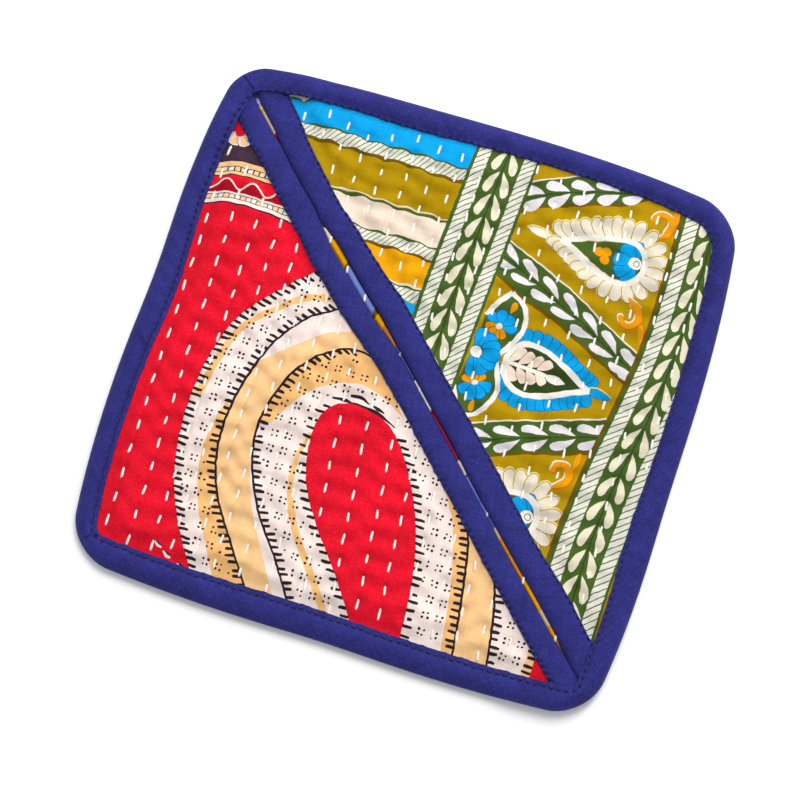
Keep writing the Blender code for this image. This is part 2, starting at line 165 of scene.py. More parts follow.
STITCH_LENGTH = {"lower_left": 4.5, "upper_right": 4.0, "back": 4.2}
STITCH_LENGTH_VARIES = 0.5
STITCH_HALF_WIDTH = 0.46
STITCH_HALF_HEIGHT = 0.30
# name: mean slant of the stitches at the left and at the right, in degrees; the top leans left.
STITCH_SLANT = {"lower_left": (0.5, 5.5), "upper_right": (2.8, 2.8), "back": (3.0, 3.0)}
STITCH_SLANT_VARIES = 5.0
SLANT_CHANGES = (-60.0, -20.0)
# Most stitches either way of the first, and rounds that bring each to a whole number of its row's count.
ROW_REACH = 24
PHASE_ROUNDS = 4
# How far the stitches that show stay from the two bindings of a pocket.
STITCH_FROM_MOUTH = 0.8
STITCH_FROM_RIM = 1.0

# Relief of the quilted cloth.
VALLEY = 0.80
RIDGE_MEAN = 0.75
RIPPLE = 0.60
PULL = 0.40
PULL_REACH = 1.0
PULL_PAST = 0.9
PULL_FADE = 1.4
RUMPLE = 0.22
RUMPLE_SIZE = 7.0
BACK_VALLEY = 0.75

# Machine stitches along the bindings.
MACHINE_PITCH = {"edge": 2.83, "upper_right": 2.83, "lower_left": 2.62}
MACHINE_SHARE = 0.62
MACHINE_HALF_WIDTH = 0.32
# Rows: distance along the face edge of the edge binding from its upper left corner, down the left side and
# on round, and how far in from that edge its machine stitches run.
MACHINE_INSET = (
    (0, 0.5), (14, 1.7), (168, 1.7), (186, 2), (350, 2), (372, 0.95), (530, 0.95), (552, 0.5),
    (740, 0.5),
)
MOUTH_INSET = 0.65
MACHINE_PULL = 0.72
MACHINE_PULL_REACH = 0.75
SCALLOP = 0.16
PUCKER = 0.16
PUCKER_LENGTH = 7.5
EDGE_FADE = 1.2
EDGE_DRAG = 0.18
MOUTH_DRAG = 0.16

# Creases of the bindings: mitres, laps and the bias seam. Rows: x0, y0, x1, y1, depth, half width, lap (how
# far the cloth on the left of the line, looking from its first end to its second, stands above the rest).
CREASES = (
    (-95.4, 91.8, -88.3, 86.4, 0.75, 0.40, 0.30),
    (-85.5, 92.4, -89.3, 85.6, 0.40, 0.45, 0.20),
    (-93.8, -92.8, -87.4, -89.2, 0.80, 0.40, 0.30),
    (-20.4, 100.4, -12.6, 91.6, 0.35, 0.45, 0.15),
    (97.0, 94.0, 89.2, 86.4, 0.22, 0.60, 0.10),
    (96.2, -97.8, 88.9, -90.6, 0.22, 0.60, 0.10),
    (-67.0, -98.2, -60.0, -91.8, 0.18, 0.60, 0.05),
    (89.3, -92.0, 88.6, -80.0, 0.50, 0.40, 0.25),
    (88.2, -86.2, 83.0, -80.0, 0.35, 0.40, 0.15),
)

# ----------------------------------------------------------------------
# Colours, as 8-bit sRGB.

INKS = {
    "red": (232, 18, 44), "dark_red": (176, 8, 34), "white": (248, 230, 222), "bright": (242, 237, 227),
    "cream": (235, 223, 202), "blush": (243, 222, 202), "lilac": (234, 228, 231), "tan": (252, 203, 144),
    "peach": (248, 192, 124), "orange": (236, 165, 4), "marigold": (228, 152, 8),
    "deep_orange": (206, 110, 6), "olive": (178, 142, 0), "dark_olive": (112, 84, 4),
    "green": (70, 97, 38), "dark_green": (50, 70, 28), "leaf_cream": (233, 226, 198),
    "hatch": (96, 104, 78), "blue": (4, 160, 227), "deep_blue": (6, 84, 142), "slate": (120, 140, 218),
    "fawn": (208, 180, 148), "straw": (240, 222, 140), "rope": (231, 230, 213),
    "lavender": (150, 150, 214), "ochre": (235, 186, 90), "amber": (214, 138, 30),
    "rust": (200, 124, 56), "crimson": (150, 30, 76), "indigo": (84, 88, 178), "maroon": (120, 24, 40),
    "ink": (46, 32, 40), "plum": (64, 44, 62), "calico": (236, 224, 200),
}
NAVY = (45, 46, 122)
NAVY_THREAD = (21, 21, 64)
WHITE_THREAD = (250, 246, 238)


def linear(colour, strength=0.9):
    """An 8-bit sRGB colour as linear values, a little darker, since the light is over 1, with full alpha."""
    parts = [c / 255.0 for c in colour]
    return [strength * (c / 12.92 if c <= 0.04045 else ((c + 0.055) / 1.055) ** 2.4) for c in parts] + [1.0]


def smooth(value):
    """0 below 0, 1 above 1 and an even ramp between."""
    held = np.clip(value, 0.0, 1.0)
    return held * held * (3.0 - 2.0 * held)


def from_table(rows, value):
    """Reads a two-column table, easing from row to row."""
    value = np.asarray(value, float)
    found = np.full(value.shape, rows[0][1], float)
    for (start, low), (end, high) in zip(rows, rows[1:]):
        found = found + (high - low) * smooth((value - start) / (end - start))
    return found


def side_point(corner, following, share, power):
    """A point of one bulging side, with share running from 0 to 1 along it."""
    _, x, y, _, bulge, draw_at, draw_in = corner
    along = np.array([following[1] - x, following[2] - y])
    outward = np.array([along[1], -along[0]]) / np.hypot(*along)
    push = bulge * (1.0 - abs(2.0 * share - 1.0) ** power)
    push -= draw_in * math.exp(-(((share - draw_at) / DRAW_IN_REACH) ** 2))
    return np.array([x, y]) + along * share + outward * push


def rounded_edge(rows, power, steps):
    """The closed edge as an array of points, the same count for every table of four sides."""
    corner_steps, side_steps = steps
    points = []
    for index, row in enumerate(rows):
        before, after = rows[index - 1], rows[(index + 1) % 4]
        length = math.hypot(after[1] - row[1], after[2] - row[2])
        length_before = math.hypot(row[1] - before[1], row[2] - before[2])
        cut, cut_before = row[3] / length, row[3] / length_before
        cut_after = after[3] / length
        enter = side_point(before, row, 1.0 - cut_before, power)
        leave = side_point(row, after, cut, power)
        enter_aim = side_point(before, row, 1.0 - cut_before * (1.0 - ARC_HANDLE), power)
        leave_aim = side_point(row, after, cut * (1.0 - ARC_HANDLE), power)
        for step in range(corner_steps):
            t = step / corner_steps
            weights = ((1 - t) ** 3, 3 * t * (1 - t) ** 2, 3 * t * t * (1 - t), t**3)
            points.append(sum(w * p for w, p in zip(weights, (enter, enter_aim, leave_aim, leave))))
        for step in range(side_steps):
            share = cut + (1.0 - cut - cut_after) * step / side_steps
            points.append(side_point(row, after, share, power))
    return np.array(points)


def moved_in(edge, distance):
    """The closed edge moved towards its inside by the same distance everywhere."""
    along = np.roll(edge, -1, axis=0) - np.roll(edge, 1, axis=0)
    inward = np.stack([-along[:, 1], along[:, 0]], axis=1)
    inward /= np.linalg.norm(inward, axis=1, keepdims=True)
    return edge + inward * distance


def distance_to(edge, x, y, closed=True):
    """Least distance from each place to a line of points."""
    starts = edge if closed else edge[:-1]
    ends = np.roll(edge, -1, axis=0) if closed else edge[1:]
    places = np.stack([np.ravel(x), np.ravel(y)], axis=1)
    best = np.full(len(places), np.inf)
    for start, end in zip(starts, ends):
        step = end - start
        share = np.clip((places - start) @ step / (step @ step), 0.0, 1.0)
        best = np.minimum(best, np.linalg.norm(places - start - share[:, None] * step, axis=1))
    return best.reshape(np.shape(x))


def is_inside(edge, x, y):
    """Whether each place lies inside a closed edge."""
    x, y = np.asarray(x, float), np.asarray(y, float)
    inside = np.zeros(x.shape, bool)
    for (x0, y0), (x1, y1) in zip(edge, np.roll(edge, -1, axis=0)):
        crosses = (y0 > y) != (y1 > y)
        slope = (x1 - x0) / (y1 - y0) if y1 != y0 else 0.0
        inside ^= crosses & (x < x0 + (y - y0) * slope)
    return inside


OUTER = rounded_edge(OUTER_EDGE, OUTER_BULGE_POWER, ROUGH_STEPS)
INNER = rounded_edge(INNER_EDGE, INNER_BULGE_POWER, ROUGH_STEPS)
PANEL_EDGE = rounded_edge(OUTER_EDGE, OUTER_BULGE_POWER, PANEL_EDGE_STEPS)
OUTER_FINE = rounded_edge(OUTER_EDGE, OUTER_BULGE_POWER, FINE_STEPS)
INNER_FINE = rounded_edge(INNER_EDGE, INNER_BULGE_POWER, FINE_STEPS)
SLIT_LENGTH = math.hypot(SLIT_END[0] - SLIT_START[0], SLIT_END[1] - SLIT_START[1])
ALONG = ((SLIT_END[0] - SLIT_START[0]) / SLIT_LENGTH, (SLIT_END[1] - SLIT_START[1]) / SLIT_LENGTH)
ACROSS = (-ALONG[1], ALONG[0])


def slit_place(x, y):
    """Distance along the slit and distance from it, positive towards the upper right."""
    along = (x - SLIT_START[0]) * ALONG[0] + (y - SLIT_START[1]) * ALONG[1]
    across = (x - SLIT_START[0]) * ACROSS[0] + (y - SLIT_START[1]) * ACROSS[1]
    return along, across - from_table(SLIT_BOW, along)


def plan_place(along, across):
    """The opposite of slit_place."""
    shifted = across + from_table(SLIT_BOW, along)
    x = SLIT_START[0] + along * ALONG[0] + shifted * ACROSS[0]
    y = SLIT_START[1] + along * ALONG[1] + shifted * ACROSS[1]
    return x, y


def end_press(along):
    """1 where the ends of the pocket bindings are sewn down, 0 along the free mouth."""
    first = 1.0 - smooth((along - PRESSED_LENGTH) / PRESSED_FADE)
    last = smooth((along - PRESSED_LAST + PRESSED_FADE) / PRESSED_FADE)
    return np.maximum(first, last)


def face_inset(x, y):
    """How far inside the face edge of the edge binding a place is, negative below the binding."""
    apart = distance_to(INNER, x, y)
    return np.where(is_inside(INNER, x, y), apart, -apart)


def base_top(x, y, inset=None):
    """Top of the base panel, pressed down at its rim and under the sewn ends of the pocket bindings."""
    inset = face_inset(x, y) if inset is None else inset
    along, across = slit_place(x, y)
    rim = 1.0 - smooth(inset / RAMP)
    beside = 1.0 - smooth((abs(across) - PRESSED_HALF_WIDTH) / PRESSED_SIDE_FADE)
    return BASE_TOP - np.maximum((BASE_TOP - BASE_RIM_TOP) * rim, CORNER_PRESS * end_press(along) * beside)


def base_face(x, y):
    """Top of the base panel with the puff that shows in the slit."""
    along, across = slit_place(x, y)
    half = from_table(SLIT_HALF_OPEN, along) + from_table(FOLD_BACK, along)
    across = across - from_table(FOLD_SWAY, along)
    arch = np.clip(1.0 - (across / (half + SLIT_PUFF_BESIDE)) ** 2, 0.0, 1.0)
    return base_top(x, y) + SLIT_PUFF * smooth(half / SLIT_PUFF_FROM - 0.2) * arch


def slit_places(step):
    """Places along the slit, close enough for its puff."""
    along = np.arange(-2.0, SLIT_LENGTH + 2.0, step)
    half = from_table(SLIT_HALF_OPEN, along) + from_table(FOLD_BACK, along) + SLIT_PUFF_BESIDE
    sway = from_table(FOLD_SWAY, along)
    lines = [plan_place(along, sway + share * half) for share in (-1.0, -0.6, 0.0, 0.6, 1.0)]
    return np.vstack([np.stack(line, axis=1) for line in lines])


def mouth_under(along, lift):
    """Height of the back fold of a pocket binding above the table."""
    rise = lift * np.sin(math.pi * np.clip(along / SLIT_LENGTH, 0.0, 1.0)) ** 2
    return BASE_TOP + GAP - CORNER_PRESS * end_press(along) + rise


def pocket_levels(x, y, pocket):
    """Underside, thickness and how free the cloth is to puff up, for one pocket panel."""
    side, width, lift = POCKETS[pocket]
    inset = face_inset(x, y)
    along, across = slit_place(x, y)
    inward = side * across - from_table(SLIT_HALF_OPEN, along)
    near_mouth = 1.0 - smooth((inward - POCKET_BINDING_BACK - EDGE_SLACK) / RAMP)
    low = base_top(x, y, inset) + GAP
    high = mouth_under(along, lift) + CLOTH + GAP
    free = smooth((inward - width - EDGE_SLACK) / RAMP) * smooth((inset - EDGE_SLACK) / RAMP)
    thick = POCKET_PRESSED + (POCKET_FULL - POCKET_PRESSED) * free
    return low + (high - low) * near_mouth, thick, free


# ----------------------------------------------------------------------
# Stitch rows and relief.


def row_phase(rows, k, y):
    """Stitch count along one row, a whole number at the middle of each stitch, a little uneven."""
    _, first, _, pitch = rows[k]
    wobble = 0.04 * np.sin(0.11 * y + 1.7 * k) + 0.03 * np.sin(0.047 * y + 2.3 * k)
    return (first - y) / pitch + wobble


def stitches(name, kept):
    """Middle, slant in radians and length of every stitch of one cloth, where kept(x, y) holds."""
    rows = STITCH_ROWS[name]
    slants = STITCH_SLANT[name]
    found = []
    for k, (x0, y0, lean, pitch) in enumerate(rows):
        for count in range(-ROW_REACH, ROW_REACH + 1):
            y = y0 - pitch * count
            for _ in range(PHASE_ROUNDS):
                y += pitch * (float(row_phase(rows, k, y)) - count)
            x = x0 + lean * (y - y0)
            slant = float(np.interp(x, SLANT_CHANGES, slants))
            turn = math.radians(slant + STITCH_SLANT_VARIES * math.sin(2.4 * count + 1.9 * k))
            length = STITCH_LENGTH[name] + STITCH_LENGTH_VARIES * math.sin(3.1 * count + 1.3 * k)
            found.append((x + 0.2 * math.sin(1.7 * count + k), y, turn, length))
    found = np.array(found)
    return found[kept(found[:, 0], found[:, 1])]


def quilting(x, y, name):
    """Height of the quilting: valleys along the rows, ripples between them, cloth pulled in at stitches."""
    rows = STITCH_ROWS[name]
    places = np.array([x0 + lean * (y - y0) for x0, y0, lean, _ in rows])
    phases = np.array([row_phase(rows, k, y) for k in range(len(rows))])
    pitches = np.array([row[3] for row in rows])
    left = np.clip((places <= x).sum(axis=0) - 1, 0, len(rows) - 2)
    each = np.arange(len(x))
    start, end = places[left, each], places[left + 1, each]
    share = (x - start) / (end - start)
    ridge = abs(np.sin(math.pi * share)) ** 0.7
    lean_over = smooth(share)
    beat = (1 - lean_over) * np.cos(2 * math.pi * phases[left, each])
    beat = beat + lean_over * np.cos(2 * math.pi * phases[left + 1, each])
    nearer = np.where(share < 0.5, left, left + 1)
    across = x - places[nearer, each]
    phase = phases[nearer, each]
    along = (phase - np.round(phase)) * pitches[nearer]
    on_stitch = smooth((0.5 * STITCH_LENGTH[name] + PULL_PAST - abs(along)) / PULL_FADE)
    pulled = np.exp(-((across / PULL_REACH) ** 2)) * on_stitch
    return VALLEY * (ridge - RIDGE_MEAN) - RIPPLE * beat * (0.6 + 0.4 * ridge) - PULL * pulled


def rumple(x, y, seed, size):
    """Small uneven creasing, about 1 high, from a few crossing waves of about the given size."""
    dice = np.random.default_rng(seed)
    total = np.zeros(np.shape(x))
    for _ in range(7):
        turn, start = dice.uniform(0.0, 2.0 * math.pi, 2)
        length = size * dice.uniform(0.6, 1.6)
        turn = 0.5 * math.pi + 0.35 * (turn - math.pi)
        total = total + np.sin((x * math.cos(turn) + y * math.sin(turn)) * 2.0 * math.pi / length + start)
    return total / 3.0


def pocket_face(x, y, pocket):
    """Top of a pocket panel."""
    under, thick, free = pocket_levels(x, y, pocket)
    creasing = RUMPLE * rumple(x, y, len(pocket), RUMPLE_SIZE) * (0.35 + 0.65 * free)
    return under + thick + free * quilting(x, y, pocket) + creasing


def pocket_under(x, y, pocket):
    return pocket_levels(x, y, pocket)[0]


def back_face(x, y):
    """The back: on the table between the stitch rows, and stepped up where the binding passes below it."""
    inset = face_inset(x, y)
    free = smooth((inset - STEP_START - STEP_LENGTH) / RAMP)
    hollow = np.clip(-quilting(x, y, "back") + VALLEY * (1.0 - RIDGE_MEAN) - 0.1, 0.0, None)
    return BASE_RIM_UNDER * (1.0 - smooth((inset - STEP_START) / STEP_LENGTH)) + BACK_VALLEY * free * hollow


# ----------------------------------------------------------------------
# Printed motifs. A print is a list of (outline, colour name), each laid over those before it.

DASH_PITCH = 2.65
DASH_LENGTH = 3.1
DASH_WIDTH = 1.2
ROPE_STROKE = 0.58
SCROLL_WIDTHS = (0.6, 2.5, 2.8, 2.2, 1.6)
RING_PETALS = 26
RING_BEADS = 29


class Print(list):
    """Outlines with their colour names, in the order in which they are laid."""

    def lay(self, outline, colour):
        self.append((outline, colour))


def spline(before, start, end, after, t):
    """A smooth line from start (t = 0) to end (t = 1), given the points before and after them."""
    return 0.5 * (
        2 * start
        + (end - before) * t
        + (2 * before - 5 * start + 4 * end - after) * t**2
        + (3 * start - before - 3 * end + after) * t**3
    )


def through(points, steps=5):
    """A smooth line through a short table of points."""
    p = np.array(points, float)
    p = np.vstack([2 * p[0] - p[1], p, 2 * p[-1] - p[-2]])
    line = [spline(*p[i : i + 4], step / steps) for i in range(len(p) - 3) for step in range(steps)]
    return np.array(line + [p[-2]])


def line_lengths(line):
    """Distance along a line at each of its points."""
    return np.concatenate([[0.0], np.cumsum(np.linalg.norm(np.diff(line, axis=0), axis=1))])


def read_at(at, lengths, values):
    """What a line, or its normals, reads at a distance along it."""
    return np.array([np.interp(at, lengths, part) for part in values.T])


def normals_of(line):
    """Unit vectors to the left of a line at each of its points."""
    step = np.gradient(line, axis=0)
    step /= np.maximum(np.linalg.norm(step, axis=1, keepdims=True), 1e-9)
    return np.stack([-step[:, 1], step[:, 0]], axis=1)


def ribbon(line, *widths):
    """The outline of a line with a width that changes evenly through the given widths."""
    share = np.linspace(0.0, 1.0, len(line))
    half = 0.5 * np.interp(share, np.linspace(0.0, 1.0, len(widths)), widths)[:, None]
    side = normals_of(line) * half
    return np.vstack([line + side, (line - side)[::-1]])


def between(one, other):
    """The outline of the band between two lines that run the same way."""
    return np.vstack([one, other[::-1]])


LEAF_STEPS = 6


def drop(tip, end, width, blunt=0.45, bend=0.0, grow=0.0, point=0.85):
    """A leaf or petal, pointed at its tip and rounder at its other end. grow makes it larger all round."""
    tip, end = np.array(tip, float), np.array(end, float)
    axis = end - tip
    length = np.hypot(*axis)
    axis /= length
    side = np.array([-axis[1], axis[0]])
    share = 0.5 - 0.5 * np.cos(math.pi * np.arange(1, LEAF_STEPS + 1) / (LEAF_STEPS + 1))
    widest = point / (point + blunt)
    half = (share / widest) ** point * ((1.0 - share) / (1.0 - widest)) ** blunt * (0.5 * width + grow)
    spine = tip - axis * grow + axis * (length + 2.0 * grow) * share[:, None]
    spine = spine + side * (4.0 * bend * share * (1.0 - share))[:, None]
    left, right = spine + side * half[:, None], spine - side * half[:, None]
    return np.vstack([tip - axis * grow, right, end + axis * grow, left[::-1]])


def disc(x, y, radius, count, turn=0.0):
    angle = turn + 2.0 * math.pi * np.arange(count) / count
    return np.stack([x + radius * np.cos(angle), y + radius * np.sin(angle)], axis=1)


def teardrop(x, y, half_length, half_width, facing, count=48):
    """A teardrop whose point faces +x or -x, beginning at the point."""
    angle = 2.0 * math.pi * np.arange(count + 1) / count
    width = half_width / 0.70 * np.sin(angle) * abs(np.sin(0.5 * angle)) ** 1.6
    return np.stack([x + facing * half_length * np.cos(angle), y + facing * width], axis=1)


def strokes(one, other, pitch, width, shift):
    """Slanting strokes across the band between two lines; shift is how far each climbs along the band."""
    length = line_lengths(one)[-1]
    count = max(int(length / pitch), 1)
    thick = 0.5 * width / length
    one_share, other_share = (line_lengths(line) / line_lengths(line)[-1] for line in (one, other))
    found = []
    for i in range(-2, count + 2):
        low, high = i / count, i / count + shift / length
        corners = [read_at(share, one_share, one) for share in (low - thick, low + thick)]
        corners += [read_at(share, other_share, other) for share in (high + thick, high - thick)]
        found.append(np.array(corners))
    return found


def leaf_pair(cloth, tip, forward, reach, spread, width, gap, colour):
    """Two leaves whose tips meet at a stem that runs forward."""
    forward = np.array(forward) / np.hypot(*forward)
    left = np.array([-forward[1], forward[0]])
    for side in (1.0, -1.0):
        start = np.array(tip) + side * gap * left
        end = start - forward * reach + side * spread * left
        cloth.lay(drop(start, end, width, bend=-0.75 * side, point=1.0), colour)


def ticks(cloth, line, side, pitch=DASH_PITCH, first_level=0.6, last_level=0.6):
    """Short blunt ink dashes along a line. The levels say how far they are turned from square to the line to
    level, at its start and from its middle on."""
    along = line_lengths(line)
    normals = normals_of(line) * side
    for i, at in enumerate(np.arange(0.6 * pitch, along[-1], pitch)):
        at += 0.25 * math.sin(2.7 * i)
        start, out = read_at(at, along, line), read_at(at, along, normals)
        flat = np.array([math.copysign(1.0, out[0]), 0.0])
        level = np.interp(at, (0.0, 0.5 * along[-1]), (first_level, last_level))
        out = out * (1.0 - level) + flat * level
        out /= np.hypot(*out)
        reach = DASH_LENGTH * (1.0 + 0.15 * math.sin(1.9 * i + 1.0))
        middle = start + out * reach * 0.6 + np.array([0.0, 0.12 * math.sin(3.3 * i)])
        dash = np.array([start - 0.2 * out, middle, start + out * reach])
        cloth.lay(ribbon(dash, 0.9 * DASH_WIDTH, DASH_WIDTH, 0.75 * DASH_WIDTH), "ink")


def rope(cloth, one, other, pitch, width=ROPE_STROKE, climb=4.6):
    """A pale band with slanting strokes."""
    cloth.lay(between(one, other), "rope")
    cloth += [(stroke, "hatch") for stroke in strokes(one, other, pitch, width, climb)]


def petal(cloth, start, end, width, blunt, fill, line, more, rim=None):
    """One petal with a thin dark outline, and a pale rim where the pale ground shows beyond it."""
    if rim:
        cloth.lay(drop(start, end, width, blunt, grow=more + 0.22) + np.array([-0.12, 0.3]), rim)
    cloth.lay(drop(start, end, width, blunt, grow=more), line)
    cloth.lay(drop(start, end, width, blunt), fill)


def heading(angle, up=1.0):
    """A unit vector at an angle in degrees, turned upside down where up is -1."""
    return np.array([math.cos(math.radians(angle)), up * math.sin(math.radians(angle))])


def fan(cloth, middle, reach, angles, up, width, fill, line):
    """Petals that spread from one place."""
    for angle in angles:
        petal(cloth, middle, np.array(middle) + heading(angle, up) * reach, width, 0.34, fill, line, 0.26)


def scroll(cloth, x, y, radius, start, sweep, tail):
    """A curling orange tendril round (x, y). It starts at an angle, closes in over its sweep, and has a
    pointed tail."""
    angle = np.radians(np.linspace(start, start + sweep, 15))
    reach = radius * np.linspace(1.15, 0.55, 15)
    curl = np.stack([x + reach * np.cos(angle), y + reach * np.sin(angle)], axis=1)
    line = np.vstack([through([tail, (curl[0] + tail) / 2.0 + [0.4, 0.0], curl[0]], 4)[:-1], curl])
    rims = (((-0.25, 0.35), 0.4, "cream"), ((0.35, -0.35), 0.4, "deep_orange"))
    for shift, more, colour in (*rims, ((0.0, 0.0), 0.0, "marigold")):
        widths = [width + more for width in SCROLL_WIDTHS]
        cloth.lay(ribbon(line + shift, *widths), colour)
        cloth.lay(disc(*(curl[-1] + shift), 1.1 + 0.5 * more, 9), colour)


def garland(cloth, upper, lower, stem, leaves):
    """A green strip with a pale upper edge and pairs of pale leaves along its stem."""
    upper, lower, stem = through(upper), through(lower), through(stem)
    pitch, start, reach, width = leaves
    cloth.lay(ribbon(lower + np.array([0.0, -0.5]), 1.4, 1.4), "dark_olive")
    cloth.lay(between(upper, lower), "green")
    cloth.lay(ribbon(upper, 0.6, 0.6), "cream")
    cloth.lay(ribbon(stem, 0.5, 0.5), "dark_green")
    along, step = line_lengths(stem), np.gradient(stem, axis=0)
    for at in np.arange(start, along[-1] + 8.0, pitch):
        place, forward = read_at(at, along, stem), read_at(at, along, step)
        leaf_pair(cloth, place, forward, reach, 2.9, width, 0.65, "lilac")


def drawn_out(points, x, y):
    """A teardrop about (x, y) with its point drawn out and turned up, and its upper edge fuller."""
    share = np.clip((x - points[:, 0]) / 14.9, 0.0, 1.0)
    fuller = 1.1 * np.sin(math.pi * share) * (points[:, 1] > y)
    return points + np.stack([-2.4 * share**2, 1.5 * share**2 + fuller], axis=1)


def framed(cloth, ring):
    """The white frame of a paisley, in two halves that meet at its point."""
    half = len(ring) // 2 + 1
    for part in (ring[:half], ring[half - 1 :]):
        cloth.lay(ribbon(part, 2.2, 2.2), "bright")


def petal_paisley(cloth, x, y):
    """A teardrop ringed with pale petals, its point to the left. x and y are the middle of its ring."""
    ring = drawn_out(teardrop(x, y, 14.9, 8.4, -1.0), x, y)
    normals, along = -normals_of(ring), line_lengths(ring)
    for i in sorted(range(RING_PETALS), key=lambda i: -abs(i - 0.5 * RING_PETALS)):
        at = along[-1] * i / RING_PETALS
        place, out = read_at(at, along, ring), read_at(at, along, normals)
        lean = smooth((x + (4.0 if place[1] > y else 8.0) - place[0]) / 18.0)
        out = out * (1.0 - 0.45 * lean) + np.array([-1.1, 0.3]) * lean
        out /= np.hypot(*out)
        reach = 7.8 + 0.6 * out[1] + 0.8 * max(out[0], 0.0)
        shape = (place - 1.4 * out, place + out * reach, 4.3, 0.46)
        if i == 0:
            shape = (place + [-13.0, 0.6], place + [-3.6, -0.2], 3.6, 0.6)
        petal(cloth, *shape, "cream", "dark_olive", 0.22, "straw")
    cloth.lay(drawn_out(teardrop(x + 0.9, y, 12.9, 7.1, -1.0, 36), x, y), "green")
    middle = np.array([x + 11.2, y + 0.7])
    fan(cloth, middle, 8.3, (100, 256, 135, 222, 178), 1.0, 5.2, "blue", "deep_blue")
    cloth.lay(disc(*middle, 2.5, 14), "bright")
    for radius, colour in ((1.3, "hatch"), (0.95, "bright")):
        cloth.lay(disc(middle[0] + 0.5, middle[1], radius, 10), colour)
    for colour, radius in (("dark_olive", 2.15), ("marigold", 1.9)):
        for dx, dy in ((-2.3, 0.8), (0.4, 1.6), (0.5, -1.7)):
            cloth.lay(disc(x - 0.4 + dx, y + 0.3 + dy, radius, 9), colour)
    framed(cloth, ring)


def leaf_paisley(cloth, x, y):
    """A leaf in a white frame with a beaded edge, its point to the right, and half a rosette at its end."""
    ring = teardrop(x, y, 16.2, 9.5, 1.0)
    ring = ring + np.stack([np.zeros(len(ring)), -0.05 * (ring[:, 0] - x + 16.0)], axis=1)
    normals, along = -normals_of(ring), line_lengths(ring)
    for i in range(RING_BEADS):
        at = along[-1] * (i + 0.5) / RING_BEADS
        place, out = read_at(at, along, ring), read_at(at, along, normals)
        if place[0] >= x - 13.5 + min(0.0, 2.5 * math.copysign(1.0, place[1] - y)):
            petal(cloth, place - 1.0 * out, place + out * 5.7, 3.7, 0.34, "blue", "deep_blue", 0.24)
    petal(cloth, ring[0] + [8.2, -0.4], ring[0] + [-1.0, 0.0], 3.2, 0.5, "blue", "deep_blue", 0.2, "straw")
    cloth.lay(ring[:-1], "dark_green")
    for i in range(4):
        root = np.array([x - 15.0 + 3.5 * i, y])
        petal(cloth, root + [0.0, 0.6], root + [5.0, 6.4 - 0.7 * i], 3.7, 0.34, "blush", "dark_green", 0.2)
        petal(cloth, root + [0.0, -0.6], root + [4.2, -6.2 + 0.6 * i], 3.6, 0.34, "blush", "dark_green", 0.2)
    stem = through([(x - 17.0, y + 0.3), (x - 8.0, y - 0.2), (x + 1.0, y - 0.8)])
    cloth.lay(ribbon(stem, 1.7, 1.3), "bright")
    cloth.lay(drop((x + 6.8, y - 1.6), (x - 1.0, y - 0.8), 3.4, 0.7), "bright")
    framed(cloth, ring)
    half_rosette(cloth, x - 19.0, y + 0.5)


def half_rosette(cloth, x, y):
    """Two pointed frames, one above the other, round small blue and orange flowers. The lower leans left."""
    for up, lean in ((1.0, 0.0), (-1.0, 0.2)):
        def spot(across, high):
            return (x + across - lean * high, y + up * high)

        left = through([spot(-9.3, 14.3), spot(-6.2, 20.0), spot(-2.3, 25.2)])
        right = ((-2.3, 25.2), (2.8, 22.0), (5.2, 17.4), (5.4, 11.5), (2.3, 5.4), (-0.5, 0.6))
        right = through([spot(*place) for place in right])
        cloth.lay(np.vstack([left, right[1:], [spot(-9.5, 1.0)]]), "green")
        fan(cloth, spot(-3.0, 11.5), 6.4, (5, 50, 140, 95), up, 3.9, "blue", "deep_blue")
        fan(cloth, spot(-3.4, 11.3), 4.9, (190, 310, 270, 230), up, 2.7, "marigold", "dark_olive")
        cloth.lay(disc(*spot(-3.2, 11.4), 1.2, 8), "cream")
        cloth.lay(drop(spot(-0.6, 17.4), spot(0.4, 21.8), 2.3, 0.5), "marigold")
        cloth.lay(ribbon(left, 1.2, 2.2, 1.8), "bright")
        cloth.lay(ribbon(right, 1.7, 1.9, 1.8), "bright")
    fan(cloth, (x - 8.8, y), 9.4, (-84, 84, -56, 56, -28, 28, 0), 1.0, 4.7, "blue", "deep_blue")
    cloth.lay(disc(x - 8.2, y, 2.5, 12), "deep_blue")
    cloth.lay(disc(x - 8.4, y, 2.2, 12), "bright")


# Upper-right cloth: edges of the two leaf borders. Columns: y, then the x of each edge.
LEFT_BORDER = (
    # y, green begins, rope begins, rope ends, stem, second rope begins, it ends, green ends
    (96.0, -3.1, -2.0, 2.6, 9.1, 15.2, 19.9, 20.9),
    (60.0, -5.0, -3.5, 1.0, 7.3, 13.6, 18.2, 19.4),
    (35.0, -6.1, -4.7, -0.4, 6.0, 12.2, 16.9, 18.0),
    (0.0, -6.6, -5.2, -0.8, 5.6, 10.6, 15.2, 16.4),
)
RIGHT_BORDER = (
    # y, rope begins, stem, second rope begins
    (96.0, 78.7, 89.0, 97.0), (75.0, 79.0, 90.0, 97.0), (50.0, 79.2, 89.8, 96.5),
    (35.0, 78.5, 89.2, 94.6), (20.0, 76.8, 88.1, 92.8), (5.0, 74.7, 86.0, 91.0),
    (-10.0, 72.2, 83.2, 88.9), (-25.0, 70.5, 81.1, 87.5), (-40.0, 69.2, 80.0, 86.3),
    (-55.0, 68.9, 79.9, 85.5), (-80.0, 69.0, 79.9, 85.3),
)
ROPE_WIDTH = 4.9
ROPE_PITCH = {"left": 2.69, "right": 2.88}
# Leaves up each border: column of the stem, y of one pair, pitch, spread.
BORDER_LEAVES = {"left": (4, 56.6, 9.38, 3.0), "right": (2, 35.4, 9.62, 3.1)}
